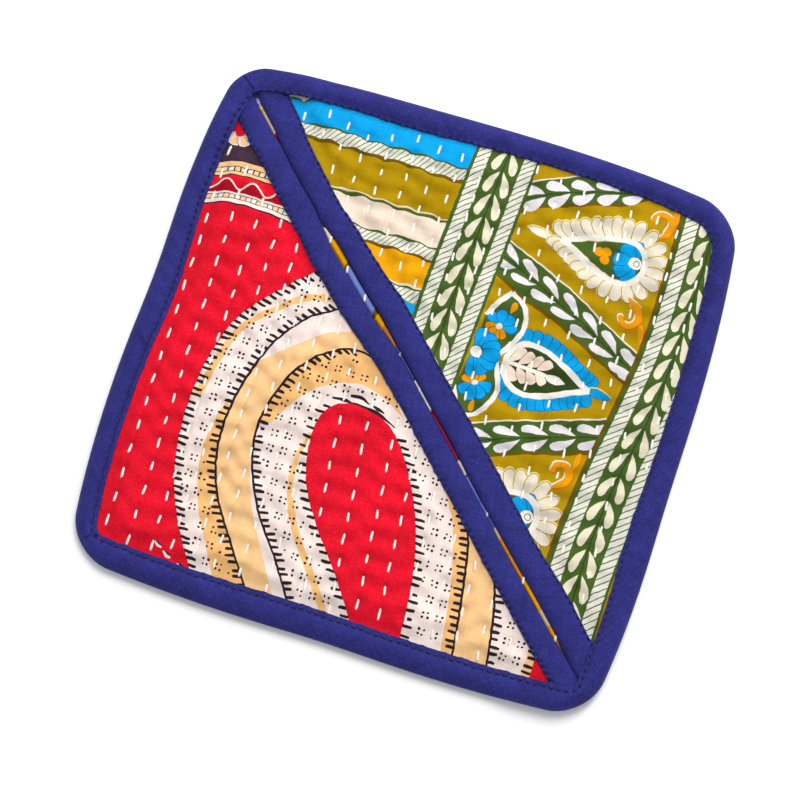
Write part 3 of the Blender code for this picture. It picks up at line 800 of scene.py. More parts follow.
# Stripes of the upper end, as they are laid. Columns: lower edge, upper edge, colour; "rope" is hatched.
STRIPES = (
    (82.0, 98.0, "blue"),
    (81.4, 82.2, "green"),
    (77.2, 81.5, "rope"),
    (75.9, 77.2, "dark_olive"),
    (60.6, 61.1, "cream"),
    (59.4, 60.4, "green"),
    (49.4, 59.4, "blush"),
    (48.7, 49.5, "green"),
    (44.6, 48.7, "rope"),
    (43.6, 44.7, "dark_olive"),
    (33.0, 43.7, "orange"),
    (32.4, 33.1, "cream"),
    (31.6, 32.4, "green"),
    (27.2, 31.6, "rope"),
    (20.0, 27.0, "blue"),
)
STRIPE_ROPE = (2.0, 0.40, 3.2)
SCALLOPS = ((-80, 87), (-76.4, 86.8), (-75, 88.6), (-72, 89.2), (-70.6, 88.1), (-68.6, 89.8), (-64, 92))
# Garlands. Rows: upper edge, lower edge, stem, then the leaves: pitch, place of the first, reach, width.
GARLANDS = (
    (
        ((16, 82), (24, 86.6), (33, 91.2), (40, 95)),
        ((16, 71), (27, 77.3), (38, 81.2), (48, 85), (56, 87.4), (66, 95)),
        ((16, 75.5), (26.5, 81), (35, 84.8), (43.5, 88), (52, 90.8), (62, 94)),
        (9.3, 2.6, 8.6, 4.3),
    ),
    (
        ((16, 61.5), (30, 56), (44, 50.2), (60, 41.6), (80, 31.2)),
        ((16, 48.6), (30, 41.6), (44, 36.8), (56, 30.8), (66, 26), (80, 19)),
        ((15, 56), (33.5, 47.7), (51, 39.5), (69, 29.9), (81, 24)),
        (9.75, 1.0, 9.8, 3.2),
    ),
    (
        ((20, -12.6), (30, -8), (44, -3.2), (60, 2), (77, 8)),
        ((20, -27), (36, -18.6), (50, -13.4), (62, -9.8), (77, -4)),
        ((20, -19), (35.5, -13.2), (54.6, -6.5), (73.5, -0.4), (80, 1.6)),
        (10.1, 6.2, 9.8, 3.2),
    ),
)
PETAL_PAISLEYS = ((54.4, 65.2), (44.2, -37.3))
LEAF_PAISLEY = (47.4, 15.9)
# Orange scrolls. Columns: x, y, radius, angle at the start, sweep, tip of the tail.
SCROLLS = (
    (70.0, 84.2, 4.4, -45.0, 215.0, (71.6, 78.0)),
    (68.7, 45.4, 4.2, 70.0, -235.0, (67.1, 52.4)),
    (61.6, -17.6, 4.0, -60.0, 230.0, (60.6, -23.4)),
)
# Orange buds beside the right border. Columns: x, y, how far each leans.
BUDS = ((75.6, 88.0, 1.4), (75.4, 40.4, 1.6), (67.0, -12.2, -1.0))


def border_line(table, column):
    """One edge of a leaf border, from the bottom up."""
    return through([(row[column], row[0]) for row in table][::-1], 8)


def border_x(table, column, y):
    ys = [row[0] for row in table][::-1]
    return float(np.interp(y, ys, [row[column] for row in table][::-1]))


def border_leaves(cloth, table, column, first, pitch, spread):
    """Pairs of drop-shaped leaves that point up a border."""
    for i in range(-14, 7):
        y = first + pitch * i
        place = (border_x(table, column, y), y)
        forward = (border_x(table, column, y + 4.0) - border_x(table, column, y - 4.0), 8.0)
        leaf_pair(cloth, place, forward, 9.5, spread, 3.3, 0.6, "leaf_cream")


def level_line(y, sway):
    """A nearly level line across the striped end of the cloth, drawn in a little at every row of stitches."""
    x = np.arange(-84.0, -2.0, 1.5)
    drawn = 0.25 * np.cos(2.0 * math.pi * (x + 7.3) / 8.7)
    swayed = sway * np.sin(0.22 * x + y) + 0.4 * sway * np.sin(0.61 * x + 2.0 * y)
    return np.stack([x, y - drawn + swayed], axis=1)


def stripe(cloth, low, high, colour):
    if colour == "rope":
        rope(cloth, level_line(low, 0.2), level_line(high, 0.2), *STRIPE_ROPE)
    else:
        cloth.lay(between(level_line(low, 0.25), level_line(high, 0.25)), colour)


def upper_right_print():
    """Olive cloth: stripes, two leaf borders, and triangles of paisleys between leafy garlands."""
    cloth = Print()
    stripe(cloth, *STRIPES[0])
    for lift, colour in ((0.7, "green"), (1.4, "bright")):
        cloth.lay(np.vstack([through(SCALLOPS) + [0.0, lift], [(-82.0, 97.0)]]), colour)
    for row in STRIPES[1:]:
        stripe(cloth, *row)
    for row in GARLANDS:
        garland(cloth, *row)
    for place in PETAL_PAISLEYS:
        petal_paisley(cloth, *place)
    leaf_paisley(cloth, *LEAF_PAISLEY)
    for row in SCROLLS:
        scroll(cloth, *row)
    for x, y, lean in BUDS:
        bud = np.array([(x + 0.5 * lean, y - 4.0), (x - 0.5 * lean, y + 3.6)])
        cloth.lay(drop(*bud, 2.7, 0.5), "deep_orange")
        cloth.lay(drop(*(bud + [(-0.2, 0.4), (-0.2, 0.0)]), 2.2, 0.5), "marigold")

    left = [border_line(LEFT_BORDER, k) for k in range(1, 8)]
    cloth.lay(between(left[0], left[6]), "green")
    rope(cloth, left[1], left[2], ROPE_PITCH["left"])
    rope(cloth, left[4], left[5], ROPE_PITCH["left"])
    cloth.lay(ribbon(left[3], 0.5, 0.5), "dark_green")
    border_leaves(cloth, LEFT_BORDER, *BORDER_LEAVES["left"])

    begins = border_line(RIGHT_BORDER, 1)
    second = border_line(RIGHT_BORDER, 3)
    cloth.lay(ribbon(begins + [-1.6, 0.0], 1.6, 1.6), "dark_olive")
    cloth.lay(between(begins + [-1.3, 0.0], begins + [30.0, 0.0]), "green")
    rope(cloth, begins, begins + [ROPE_WIDTH, 0.0], ROPE_PITCH["right"])
    cloth.lay(ribbon(border_line(RIGHT_BORDER, 2), 0.5, 0.5), "dark_green")
    border_leaves(cloth, RIGHT_BORDER, *BORDER_LEAVES["right"])
    rope(cloth, second, second + [ROPE_WIDTH, 0.0], ROPE_PITCH["right"])
    cloth.lay(between(second + [ROPE_WIDTH + 1.0, 0.0], second + [14.0, 0.0]), "olive")
    return cloth


# Lower-left cloth: lines of the nested arches, from the slit down to the lower edge.
ARCH_OUTER = (
    ((-40, 31), (-46, 26.5), (-58, 13.6), (-67, 1.4), (-72, -15))
    + ((-73.4, -36), (-70.6, -57), (-63.5, -75), (-51, -95))
)
ARCH_SECOND = (
    ((-30, 18), (-41, 10.6), (-48.6, 1.5), (-54, -10), (-58, -27))
    + ((-58.2, -45), (-53, -62), (-42, -78.5), (-30, -95))
)
ARCH_THIRD = (
    ((-8, -3), (-15, 2.4), (-24, 3.2), (-33, -2), (-41, -11.5), (-46.5, -29))
    + ((-45.3, -45), (-37, -63.5), (-26, -78), (-15, -94))
)
TAN_ABOVE = ((-14, 8), (-23, 10), (-33, 6.6), (-43, -1), (-54.6, -12))
TAN_BELOW = ((-46.4, -32), (-45.2, -47), (-39, -64), (-30, -79), (-20, -95))
OVAL = (
    ((9, -95), (-3, -78), (-15, -63), (-24, -48), (-27.4, -31), (-24.6, -20.6), (-15.5, -15.6))
    + ((-4, -18.4), (5, -26.4), (14, -41), (20.4, -57), (24, -74), (25.8, -95))
)
COMB_RIGHT = ((34, -42), (38.4, -52), (41.2, -66), (43.6, -81), (45.4, -95))
COMB_LAST = ((50, -58), (53.8, -70), (56, -81), (58.2, -95))
LAST_EDGE = ((73.4, -78.0), (73.3, -86.0), (73.4, -95.0))
# Peach bands: one edge of each. The arches and the right comb are their other edges.
BESIDE_SECOND = ((-60.6, -29), (-62.8, -40), (-62.8, -52), (-58.6, -67), (-52, -79), (-43, -95))
BESIDE_THIRD = ((3, -16.5), (0.9, -14.9), (-9, -9.5), (-19.5, -9), (-31, -14.6), (-38, -23), (-42.5, -32))
BESIDE_COMB = ((25, -37), (31, -47), (35.6, -62), (38.4, -76), (41, -95))
PEACH_LINES = (
    # widths from end to end, then the line
    ((2.6, 2.2, 3.0), ((-32, 20), (-44, 17.3), (-54, 9.6), (-64, -1), (-68.6, -15), (-71.4, -30))),
    ((1.2, 2.4, 2.6), ((-27.8, -31), (-29.6, -42), (-28, -54), (-21.6, -67), (-12, -79.6), (-0.5, -95))),
)
# Loose ink strokes over the top of the oval.
INK_STROKES = (
    ((-24.4, -16.2), (-20.0, -15.6), (-16.6, -16.0)),
    ((-18.2, -13.4), (-14.6, -13.0), (-10.8, -14.4)),
    ((-16.6, -15.9), (-8.0, -16.6), (0.4, -19.6)),
    ((-9.2, -14.8), (-7.0, -15.4), (-4.6, -16.3)),
)
# Little flecks at the lower left, where the red cloth bunches into a fold: a white stroke where other cloth
# shows, with a stroke of painted fold shade in the ink colour above it.
FOLD_SHADE_FLECKS = ((-67.0, -86.5), (-63.0, -89.0), (-57.0, -91.5))
DOT_START = (-36.4, 18.0)
DOT_PITCH = (5.05, 5.85)
DOT_LEAN = 0.025
DOT_APART = 0.85
DOT_RADIUS = 0.48
DOT_CLEAR = 0.7
DOT_ZONE_INSET = 3.4


def dots(cloth, zone, lines):
    """Little squares of four dots, in rows over one zone and clear of the dashes along the lines."""
    across, down = DOT_PITCH
    for i in range(-18, 26):
        for j in range(-4, 22):
            x = DOT_START[0] + across * i + DOT_LEAN * down * j
            y = DOT_START[1] - down * j + 0.3 * math.sin(1.3 * i)
            if not is_inside(zone, x, y):
                continue
            for k, (u, v) in enumerate(((-1, -1), (-1, 1), (1, -1), (1, 1))):
                at_x = x + DOT_APART * u + 0.13 * math.sin(5.1 * i + 3.7 * j + 2.1 * k)
                at_y = y + DOT_APART * v + 0.13 * math.sin(2.9 * i + 4.3 * j + 1.3 * k)
                apart = min(distance_to(line, at_x, at_y, False) for line in lines)
                if apart < DASH_LENGTH + DOT_CLEAR:
                    continue
                size = DOT_RADIUS * (1.0 + 0.15 * math.sin(3.3 * i + 7.1 * j + k))
                cloth.lay(disc(at_x, at_y, size, 6, turn=i + j + k), "ink")


def comb(cloth, line, side, plain_beyond=90.0):
    """An ink line with short dashes on one side. Its upper end is plain beyond the given x."""
    cloth.lay(ribbon(line, 0.75, 0.95, 0.75), "ink")
    ticks(cloth, line[(line[:, 0] < plain_beyond) | (line[:, 1] < -60.0)], side)


def left_sink(x, start):
    """How far the flower border sinks to the left of its start."""
    return 2.4 * (np.clip(start - x, 0.0, None) / 14.0) ** 2


def arched_line(y):
    """A line of the flower border at the upper left, which sinks towards both ends."""
    x = np.arange(-96.0, -54.0, 1.5)
    right = np.clip(x + 72.0, 0.0, None) / 14.0
    return np.stack([x, y - left_sink(x, -78.0) - right**2], axis=1)


def arched_stripe(cloth, low, high, colour):
    cloth.lay(between(arched_line(low), arched_line(high)), colour)


def squares(cloth, low, high, pitch, size):
    """A row of little light squares with dark gaps between them, along the flower border."""
    arched_stripe(cloth, low, high, "plum")
    one, other = arched_line(low + 0.3), arched_line(high - 0.3)
    for i, x in enumerate(np.arange(-93.0, -58.0, pitch)):
        corners = []
        for line, at in ((one, x), (one, x + size), (other, x + size), (other, x)):
            corners.append([at, np.interp(at, line[:, 0], line[:, 1])])
        cloth.lay(np.array(corners), ("tan", "bright", "cream")[(i * 2) % 3])


# Bands of the flower border. Columns: lower edge, upper edge, colour, then pitch and size of squares.
BORDER_FOOT = (
    (43.2, 80.0, "red"),
    (42.8, 43.4, "ink"),
    (43.4, 44.9, "white"),
    (44.9, 47.0, "squares", 2.1, 1.75),
    (47.0, 47.7, "bright"),
    (47.7, 54.1, "red"),
)
BORDER_TOP = (
    (54.1, 54.6, "ink"),
    (54.6, 55.8, "tan"),
    (55.8, 57.9, "squares", 2.35, 1.8),
    (57.9, 59.8, "tan"),
    (59.8, 90.0, "plum"),
)
# Petals at the foot of the flower. Columns: angle, reach.
FOOT_PETALS = ((235, 9.5), (262, 10.0), (289, 10.0), (316, 9.0))
FOOT = (-89.0, 75.0)


def border_bands(cloth, bands):
    for low, high, colour, *sizes in bands:
        if sizes:
            squares(cloth, low, high, *sizes)
        else:
            arched_stripe(cloth, low, high, colour)


def flower_border(cloth):
    """The border across the upper left: bands, a waving line, rows of squares and the foot of a flower."""
    border_bands(cloth, BORDER_FOOT)
    x = np.arange(-95.0, -58.0, 0.8)
    swing = 50.6 + 1.7 * np.sin((x + 79.6) * 2.0 * math.pi / 10.6)
    wave = np.stack([x, swing - left_sink(x, -80.0)], axis=1)
    below = np.stack([x, 47.8 - left_sink(x, -78.0)], axis=1)
    cloth.lay(between(below, wave + [0.0, -0.3]), "dark_red")
    cloth.lay(ribbon(wave, 0.6, 0.7, 0.6), "bright")
    border_bands(cloth, BORDER_TOP)
    foot = np.array(FOOT)
    for angle, reach in FOOT_PETALS:
        away = reach * heading(angle)
        petal(cloth, foot, foot + away, 5.0, 0.32, "white", "ink", 0.2)
        cloth.lay(drop(foot + 0.55 * away, foot + 0.97 * away, 3.0, 0.35), "tan")
    foot = foot + [0.0, 0.8]
    for angle in (230, 270, 310):
        cloth.lay(drop(foot, foot + heading(angle) * 7.0, 3.8, 0.4), "red")


def lower_left_print():
    """Red cloth: a flower border, and nested arches with combed edges and dotted bands round a red oval."""
    cloth = Print()
    flower_border(cloth)
    outer, second, third = through(ARCH_OUTER), through(ARCH_SECOND), through(ARCH_THIRD)
    right, last, oval = through(COMB_RIGHT), through(COMB_LAST), through(OVAL)
    last_edge = np.array(LAST_EDGE)
    zone = np.vstack([outer, last_edge[::-1], [(60.0, -40.0), (10.0, 10.0)]])
    cloth.lay(zone, "white")
    for widths, line in PEACH_LINES:
        cloth.lay(ribbon(through(line), *widths), "peach")
    cloth.lay(between(through(BESIDE_SECOND), second[second[:, 1] < -29.0]), "peach")
    cloth.lay(between(through(BESIDE_THIRD), third[third[:, 1] > -33.0]), "peach")
    cloth.lay(between(through(BESIDE_COMB), right), "peach")
    cloth.lay(np.array([(70.4, -78.0), (74.0, -78.0), (74.0, -95.0), (70.0, -95.0)]), "tan")
    dots(cloth, moved_in(zone, DOT_ZONE_INSET), (second, third, right, last, last_edge, oval))
    cloth.lay(between(second, third), "white")
    tan_left = np.vstack([through(TAN_ABOVE), second[second[:, 1] < -13.0]])
    tan_right = np.vstack([third[third[:, 1] > -31.0], through(TAN_BELOW)])
    cloth.lay(between(tan_left, tan_right), "tan")
    cloth.lay(between(right, last), "tan")
    ticks(cloth, outer, 1.0, DASH_PITCH, 0.5, 1.0)
    comb(cloth, second, -1.0)
    comb(cloth, third, 1.0, -22.0)
    comb(cloth, right, -1.0)
    comb(cloth, last, 1.0)
    ticks(cloth, last_edge, -1.0)
    cloth.lay(np.vstack([last_edge, [(92.0, -95.0), (92.0, -60.0)]]), "red")
    cloth.lay(oval, "red")
    half = len(oval) // 2
    for side_line, below, pitch in ((oval[:half], -17.0, 3.4), (oval[half:], -22.0, 3.0)):
        ticks(cloth, side_line[side_line[:, 1] < below], 1.0, pitch, 0.9, 0.97)
    for x, y in FOLD_SHADE_FLECKS:
        white = through([(x - 1.6, y + 0.9), (x, y), (x + 1.6, y - 0.6)])
        cloth.lay(ribbon(white, 0.6, 1.3, 0.6), "white")
        # The ink-coloured stroke is painted shade along the fold of the bunched cloth.
        ink = through([(x - 1.2, y + 1.3), (x + 0.2, y + 0.6), (x + 1.6, y + 0.2)])
        cloth.lay(ribbon(ink, 0.4, 0.7, 0.4), "ink")
    for stroke in INK_STROKES:
        cloth.lay(ribbon(through(stroke), 0.8, 1.4, 0.5), "ink")
    return cloth


# Colours of the base cloth where it shows in the slit. Columns: distance along the slit, colour from there.
SLIT_COLOURS = (
    (-20, "lavender"), (-0.8, "ochre"), (1.5, "fawn"), (11.5, "dark_red"), (16, "plum"), (49, "blush"),
    (58.6, "orange"), (69.5, "dark_olive"), (70.5, "slate"), (90, "dark_olive"), (92, "orange"),
    (97, "rust"), (106, "indigo"), (120, "lilac"), (133, "crimson"), (153.5, "cream"), (160, "slate"),
    (176, "indigo"), (181.5, "fawn"), (186, "amber"), (203, "orange"), (215, "fawn"), (222, "orange"),
    (227, "rust"), (250, "rust"),
)
# Stitches that show in the slit. Columns: distance along the slit, distance across it.
SLIT_STITCHES = (
    ((58.3, 0.0), (71.3, -0.2), (84.0, 0.1), (109.0, 0.0))
    + ((124.0, 0.1), (176.0, 0.1), (203.0, 0.0), (226.5, 0.1))
)
SLIT_STITCH_LENGTH = 3.0
SLIT_STITCH_SLANT = 0.15


def base_print():
    """The base cloth: bands of colour that cross the slit, on plain cloth."""
    cloth = Print()
    for (start, colour), (end, _) in zip(SLIT_COLOURS, SLIT_COLOURS[1:]):
        corners = [(start - 5.0, 9.0), (end - 5.0, 9.0), (end + 5.0, -9.0), (start + 5.0, -9.0)]
        cloth.lay(np.array([plan_place(a, b) for a, b in corners], float), colour)
    return cloth


# ----------------------------------------------------------------------
# Meshes.

UNDERSIDE = "calico"
# Steps between the points of each face, and how far the points inside it stay from its edge.
GRID_STEP, GRID_CLEAR = 1.25, 0.6
UNDER_STEP, UNDER_CLEAR = 6.0, 1.0
BACK_STEP, BACK_CLEAR = 1.5, 0.7
SLIT_STEP = 1.3
OUTLINE_STEP = 2.2
HAND = 0.16
SLOPE_STEP = 0.02


def refined(outline, step):
    """A closed outline with extra points, none further apart than step."""
    points = []
    for a, b in zip(outline, np.roll(outline, -1, axis=0)):
        parts = max(1, math.ceil(math.dist(a, b) / step))
        points += [a + (b - a) * i / parts for i in range(parts)]
    return np.array(points)


def hand_made(points):
    """Outlines moved a little, as a block printer's hand would."""
    x, y = points[:, 0], points[:, 1]
    dx = np.sin(0.83 * x + 1.31 * y) + np.sin(1.57 * y - 0.62 * x + 1.0)
    dy = np.sin(1.21 * x - 0.74 * y + 2.0) + np.sin(0.55 * x + 1.73 * y + 0.5)
    return points + 0.5 * HAND * np.stack([dx, dy], axis=1)


def grid_in(edge, step, clear):
    """Places of an uneven triangular grid inside a closed edge."""
    low, high = edge.min(axis=0), edge.max(axis=0)
    rows = np.arange(low[1], high[1], step * 0.87)
    columns = np.arange(low[0], high[0], step)
    x, y = np.meshgrid(columns, rows)
    x = x + 0.5 * step * (np.arange(len(rows)) % 2)[:, None]
    shift = 0.12 * step
    x, y = x + shift * np.sin(12.9 * x + 7.3 * y), y + shift * np.sin(5.7 * x - 11.1 * y)
    x, y = x.ravel(), y.ravel()
    keep = is_inside(edge, x, y)
    x, y = x[keep], y[keep]
    keep = distance_to(edge, x, y) > clear
    return np.stack([x[keep], y[keep]], axis=1)


def cloth_face(edge, places, cloth=()):
    """Triangles over a closed edge, whose lines follow the printed outlines: points, faces, colour numbers.

    The first points are those of the edge, in order. A colour number is the place in cloth of the topmost
    outline that covers the face, or -1 for the ground.
    """
    points = [tuple(p) for p in edge]
    count = len(edge)
    lines = [(i, (i + 1) % count) for i in range(count)]
    outlines = [hand_made(refined(outline, OUTLINE_STEP)) for outline, _ in cloth]
    for outline in outlines:
        first, count = len(points), len(outline)
        points += [tuple(p) for p in outline]
        lines += [(first + i, first + (i + 1) % count) for i in range(count)]
    cell = 0.35 * GRID_STEP
    taken = {tuple(c) for c in np.round(np.array(points[len(edge) :] or [edge[0]]) / cell).astype(int)}
    points += [tuple(p) for p in places if tuple(np.round(p / cell).astype(int)) not in taken]
    vertices, _, faces, origins, _, _ = delaunay_2d_cdt([Vector(p) for p in points], lines, [], 0, 1e-4)
    flat = np.array([v[:] for v in vertices])
    faces = np.array(faces)
    middles = flat[faces].mean(axis=1)
    kept = is_inside(edge, *middles.T)
    faces, middles = faces[kept], middles[kept]
    colours = np.full(len(faces), -1)
    for number, outline in enumerate(outlines):
        low, high = outline.min(axis=0), outline.max(axis=0)
        near = np.flatnonzero(((middles >= low) & (middles <= high)).all(axis=1))
        colours[near[is_inside(outline, *middles[near].T)]] = number
    place_of = {source: number for number, sources in enumerate(origins) for source in sources}
    order = np.array([place_of[i] for i in range(len(edge))])
    order = np.concatenate([order, np.setdiff1d(np.unique(faces), order)])
    renumbered = np.zeros(len(flat), int)
    renumbered[order] = np.arange(len(order))
    return flat[order], renumbered[faces].tolist(), colours


def with_slopes(flat, height):
    """Points at their heights, and the normals of the surface there."""
    x, y = flat.T
    z = height(x, y)
    slope_x = (height(x + SLOPE_STEP, y) - height(x - SLOPE_STEP, y)) / (2.0 * SLOPE_STEP)
    slope_y = (height(x, y + SLOPE_STEP) - height(x, y - SLOPE_STEP)) / (2.0 * SLOPE_STEP)
    normals = np.stack([-slope_x, -slope_y, np.ones(len(x))], axis=1)
    normals /= np.linalg.norm(normals, axis=1, keepdims=True)
    return np.stack([x, y, z], axis=1), normals


def new_piece(name, points, faces, material, normals=None):
    """A mesh piece from points in millimetres."""
    mesh = bpy.data.meshes.new(name)
    mesh.from_pydata((np.asarray(points) * MM).tolist(), [], faces)
    mesh.materials.append(material)
    mesh.polygons.foreach_set("use_smooth", [True] * len(mesh.polygons))
    if normals is not None:
        mesh.normals_split_custom_set_from_vertices(normals.tolist())
    piece = bpy.data.objects.new(name, mesh)
    bpy.context.scene.collection.objects.link(piece)
    return piece


def quilted_piece(name, edge, top, under, top_cloth, ground, material):
    """A closed quilted pad between a printed top and a plain underside, which are (places, height rule)."""
    top_flat, top_faces, colours = cloth_face(edge, top[0], top_cloth)
    under_flat, under_faces, _ = cloth_face(edge, under[0])
    top_points, top_normals = with_slopes(top_flat, top[1])
    under_points, under_normals = with_slopes(under_flat, under[1])
    shift = len(top_points)
    count = len(edge)
    faces = list(top_faces)
    faces += [[i + shift for i in reversed(face)] for face in under_faces]
    faces += [[i, i + shift, (i + 1) % count + shift, (i + 1) % count] for i in range(count)]
    normals = np.vstack([top_normals, -under_normals])
    piece = new_piece(name, np.vstack([top_points, under_points]), faces, material, normals)
    palette = [linear(INKS[colour]) for _, colour in top_cloth] + [linear(INKS[ground])]
    painted = [palette[number] for number in colours]
    painted += [linear(INKS[UNDERSIDE])] * (len(under_faces) + count)
    per_corner = np.repeat(np.array(painted), [len(face) for face in faces], axis=0)
    layer = piece.data.color_attributes.new("print", "FLOAT_COLOR", "CORNER")
    layer.data.foreach_set("color", per_corner.ravel())
    return piece


def swept_piece(name, sections, closed, material, laid):
    """A closed strip from sections with the same count of points. laid gives the flat place of each point."""
    sections = np.asarray(sections)
    rings, count = sections.shape[:2]
    faces = []
    for i in range(rings if closed else rings - 1):
        here, there = i * count, ((i + 1) % rings) * count
        for j in range(count):
            k = (j + 1) % count
            faces.append([here + j, there + j, there + k, here + k])
    if not closed:
        faces.append(list(range(count)))
        faces.append([(rings - 1) * count + j for j in reversed(range(count))])
    piece = new_piece(name, sections.reshape(-1, 3), faces, material)
    attribute = piece.data.attributes.new("laid", "FLOAT_VECTOR", "POINT")
    attribute.data.foreach_set("vector", (np.asarray(laid).reshape(-1, 3) * MM).ravel())
    return piece


def closed_through(points, parts, fine):
    """A smooth closed line, with the given parts after each of the first fine points and one after others."""
    p = np.array(points, float)
    before, after, beyond = np.roll(p, 1, axis=0), np.roll(p, -1, axis=0), np.roll(p, -2, axis=0)
    every = np.stack([spline(before, p, after, beyond, step / parts) for step in range(parts)], axis=1)
    return np.vstack([every[:fine].reshape(-1, p.shape[1]), p[fine:]])


def crease_drop(x, y):
    """How far the listed creases lower the cloth of the bindings at each place."""
    total = np.zeros(np.shape(x))
    for x0, y0, x1, y1, depth, half, lap in CREASES:
        length = math.hypot(x1 - x0, y1 - y0)
        along = ((x - x0) * (x1 - x0) + (y - y0) * (y1 - y0)) / length
        across = ((x1 - x0) * (y - y0) - (y1 - y0) * (x - x0)) / length
        ends = smooth((along + 1.5) / 2.0) * smooth((length + 1.5 - along) / 2.0)
        trough = np.exp(-((across / half) ** 2))
        step = np.exp(-((across / (5.0 * half)) ** 2)) * np.where(across > 0.0, 1.0, 0.0)
        total = total + ends * (depth * trough - lap * step)
    return total


def machine_pull(along, pitch):
    """1 under a machine stitch, less between two."""
    return 0.55 + 0.45 * np.cos(2.0 * math.pi * along / pitch)


def sunk_by_machine(from_stitch, along, pitch):
    """How far the machine stitches pull a binding down, at a distance from their line."""
    return MACHINE_PULL * machine_pull(along, pitch) * np.exp(-((from_stitch / MACHINE_PULL_REACH) ** 2))


def face_edge_share(apart, width, parts):
    """1 at the face edge of a binding, on its first two rows, and 0 a little way in."""
    return smooth((apart - width + EDGE_FADE) / EDGE_FADE) * (np.arange(len(apart)) < 2 * parts)


def laid_flat(rows, along):
    """Where the points of a section lie on the flat tape: along it and across it."""
    across = line_lengths(np.vstack([rows, rows[:1]]))[:-1]
    return np.stack([np.full(len(rows), along), across, np.zeros(len(rows))], axis=1)


def edge_waves(along, pitch, start):
    """How far the stitched edge of a binding waves in and out."""
    slow = math.sin(2.0 * math.pi * along / PUCKER_LENGTH + start) + 0.7 * math.sin(along / 2.9 + 2.0 * start)
    return SCALLOP * (0.5 - machine_pull(along, pitch)) + PUCKER * slow


def drag(along, across, seed):
    """Slanting drag lines of cloth cut on the bias, about 1 high."""
    dice = np.random.default_rng(seed)
    total = 0.0
    for _ in range(6):
        length, slant, start = dice.uniform(5.0, 19.0), dice.uniform(-0.9, 0.9), dice.uniform(0.0, 6.28)
        total = total + np.sin((along + slant * across) * 2.0 * math.pi / length + start)
    return total / 3.0


def edge_rows(width, inside, puff):
    """Points of the folded edge binding: distance in from the outer edge, height. Begins at its face edge."""
    middle, back, top = (inside + CLOTH) / 2.0, width - BINDING_BACK_LESS, inside + CLOTH
    return (
        ((width, inside + 0.25 * CLOTH), (width - 0.25, inside + 0.55 * CLOTH))
        + ((width - 0.9, inside + 0.62 * CLOTH), (width - 2.2, top + 0.25 * puff))
        + ((0.62 * width, top + 0.95 * puff), (0.45 * width, top + puff), (3.0, top + 0.5 * puff))
        + ((1.3, inside + 0.44 * CLOTH), (0.3, 0.5 * (middle + inside)), (0.0, middle))
        + ((0.4, 0.4 * middle), (1.6, 0.2), (3.2, 0.0), (0.5 * (3.2 + back), 0.0), (back, 0.0))
        + ((back, CLOTH), (2.2, CLOTH), (1.3, 0.6 * middle), (1.2, middle))
        + ((1.5, inside - 0.5), (2.4, inside), (width, inside))
    )


EDGE_FACE_ROWS = 10
EDGE_PARTS = 3


def edge_binding_sections():
    """Sections of the edge binding all round, with its puff, machine stitches, creases and drag lines."""
    sections, laid = [], []
    pitch = MACHINE_PITCH["edge"]
    for outer, inner, at in zip(OUTER_FINE, INNER_FINE, line_lengths(INNER_FINE)):
        width = math.dist(outer, inner)
        _, across = slit_place(*inner)
        beside = float(1.0 - smooth((abs(across) - PRESSED_HALF_WIDTH) / PRESSED_SIDE_FADE))
        inside = BINDING_INSIDE_TOP + BINDING_CORNER_RISE * beside
        rows = closed_through(edge_rows(width, inside, 0.9 - 0.5 * beside), EDGE_PARTS, EDGE_FACE_ROWS)
        rows[:, 1] = np.clip(rows[:, 1], 0.0, None)
        apart, height = rows.T
        inward = (inner - outer) / width
        x, y = outer[0] + inward[0] * apart, outer[1] + inward[1] * apart
        on_face = smooth((height - inside - 0.45 * CLOTH) / (0.5 * CLOTH))
        on_face = on_face * (np.arange(len(rows)) < EDGE_PARTS * EDGE_FACE_ROWS)
        sunk = sunk_by_machine(width - float(from_table(MACHINE_INSET, at)) - apart, at, pitch)
        wave = EDGE_DRAG * drag(at, apart, 3) * smooth(apart / 2.0) * smooth((width - apart) / 3.0)
        lowered = height - on_face * (sunk + crease_drop(x, y) - wave)
        moved = edge_waves(at, pitch, 0.0) * face_edge_share(apart, width, EDGE_PARTS)
        sections.append(np.stack([x + inward[0] * moved, y + inward[1] * moved, lowered], axis=1))
        laid.append(laid_flat(rows, at))
    return sections, laid


@functools.cache
def tucked_ends(across):
    """Where a line beside the slit goes under the edge binding, at both ends."""
    ends = []
    for low, high in ((0.5 * SLIT_LENGTH, -30.0), (0.5 * SLIT_LENGTH, SLIT_LENGTH + 30.0)):
        for _ in range(14):
            middle = 0.5 * (low + high)
            x, y = plan_place(middle, across)
            kept = is_inside(OUTER, x, y) and distance_to(OUTER, x, y) > TUCK_INSET
            low, high = (middle, high) if kept else (low, middle)
        ends.append(low)
    return ends


MOUTH_STEPS = 560
MOUTH_PARTS = 3
MOUTH_FACE_ROWS = 9


def mouth_rows(width):
    """Points of a folded pocket binding: distance in from the fold, layers of cloth and gaps below."""
    back, inner = POCKET_BINDING_BACK, 2.0 * CLOTH + 2.0 * GAP
    return (
        ((width, 2.85), (width - 0.25, 3.15), (width - 0.9, 3.22), (width - 2.2, 3.5), (0.62 * width, 3.68))
        + ((0.45 * width, 3.72), (3.0, 3.6), (1.4, 3.2), (0.42, 2.55), (0.0, 1.8), (0.6, 0.5), (1.8, 0.0))
        + ((back, 0.0), (back, CLOTH), (1.7, CLOTH), (POCKET_FOLD, 1.8), (1.7, inner), (width, inner))
    )


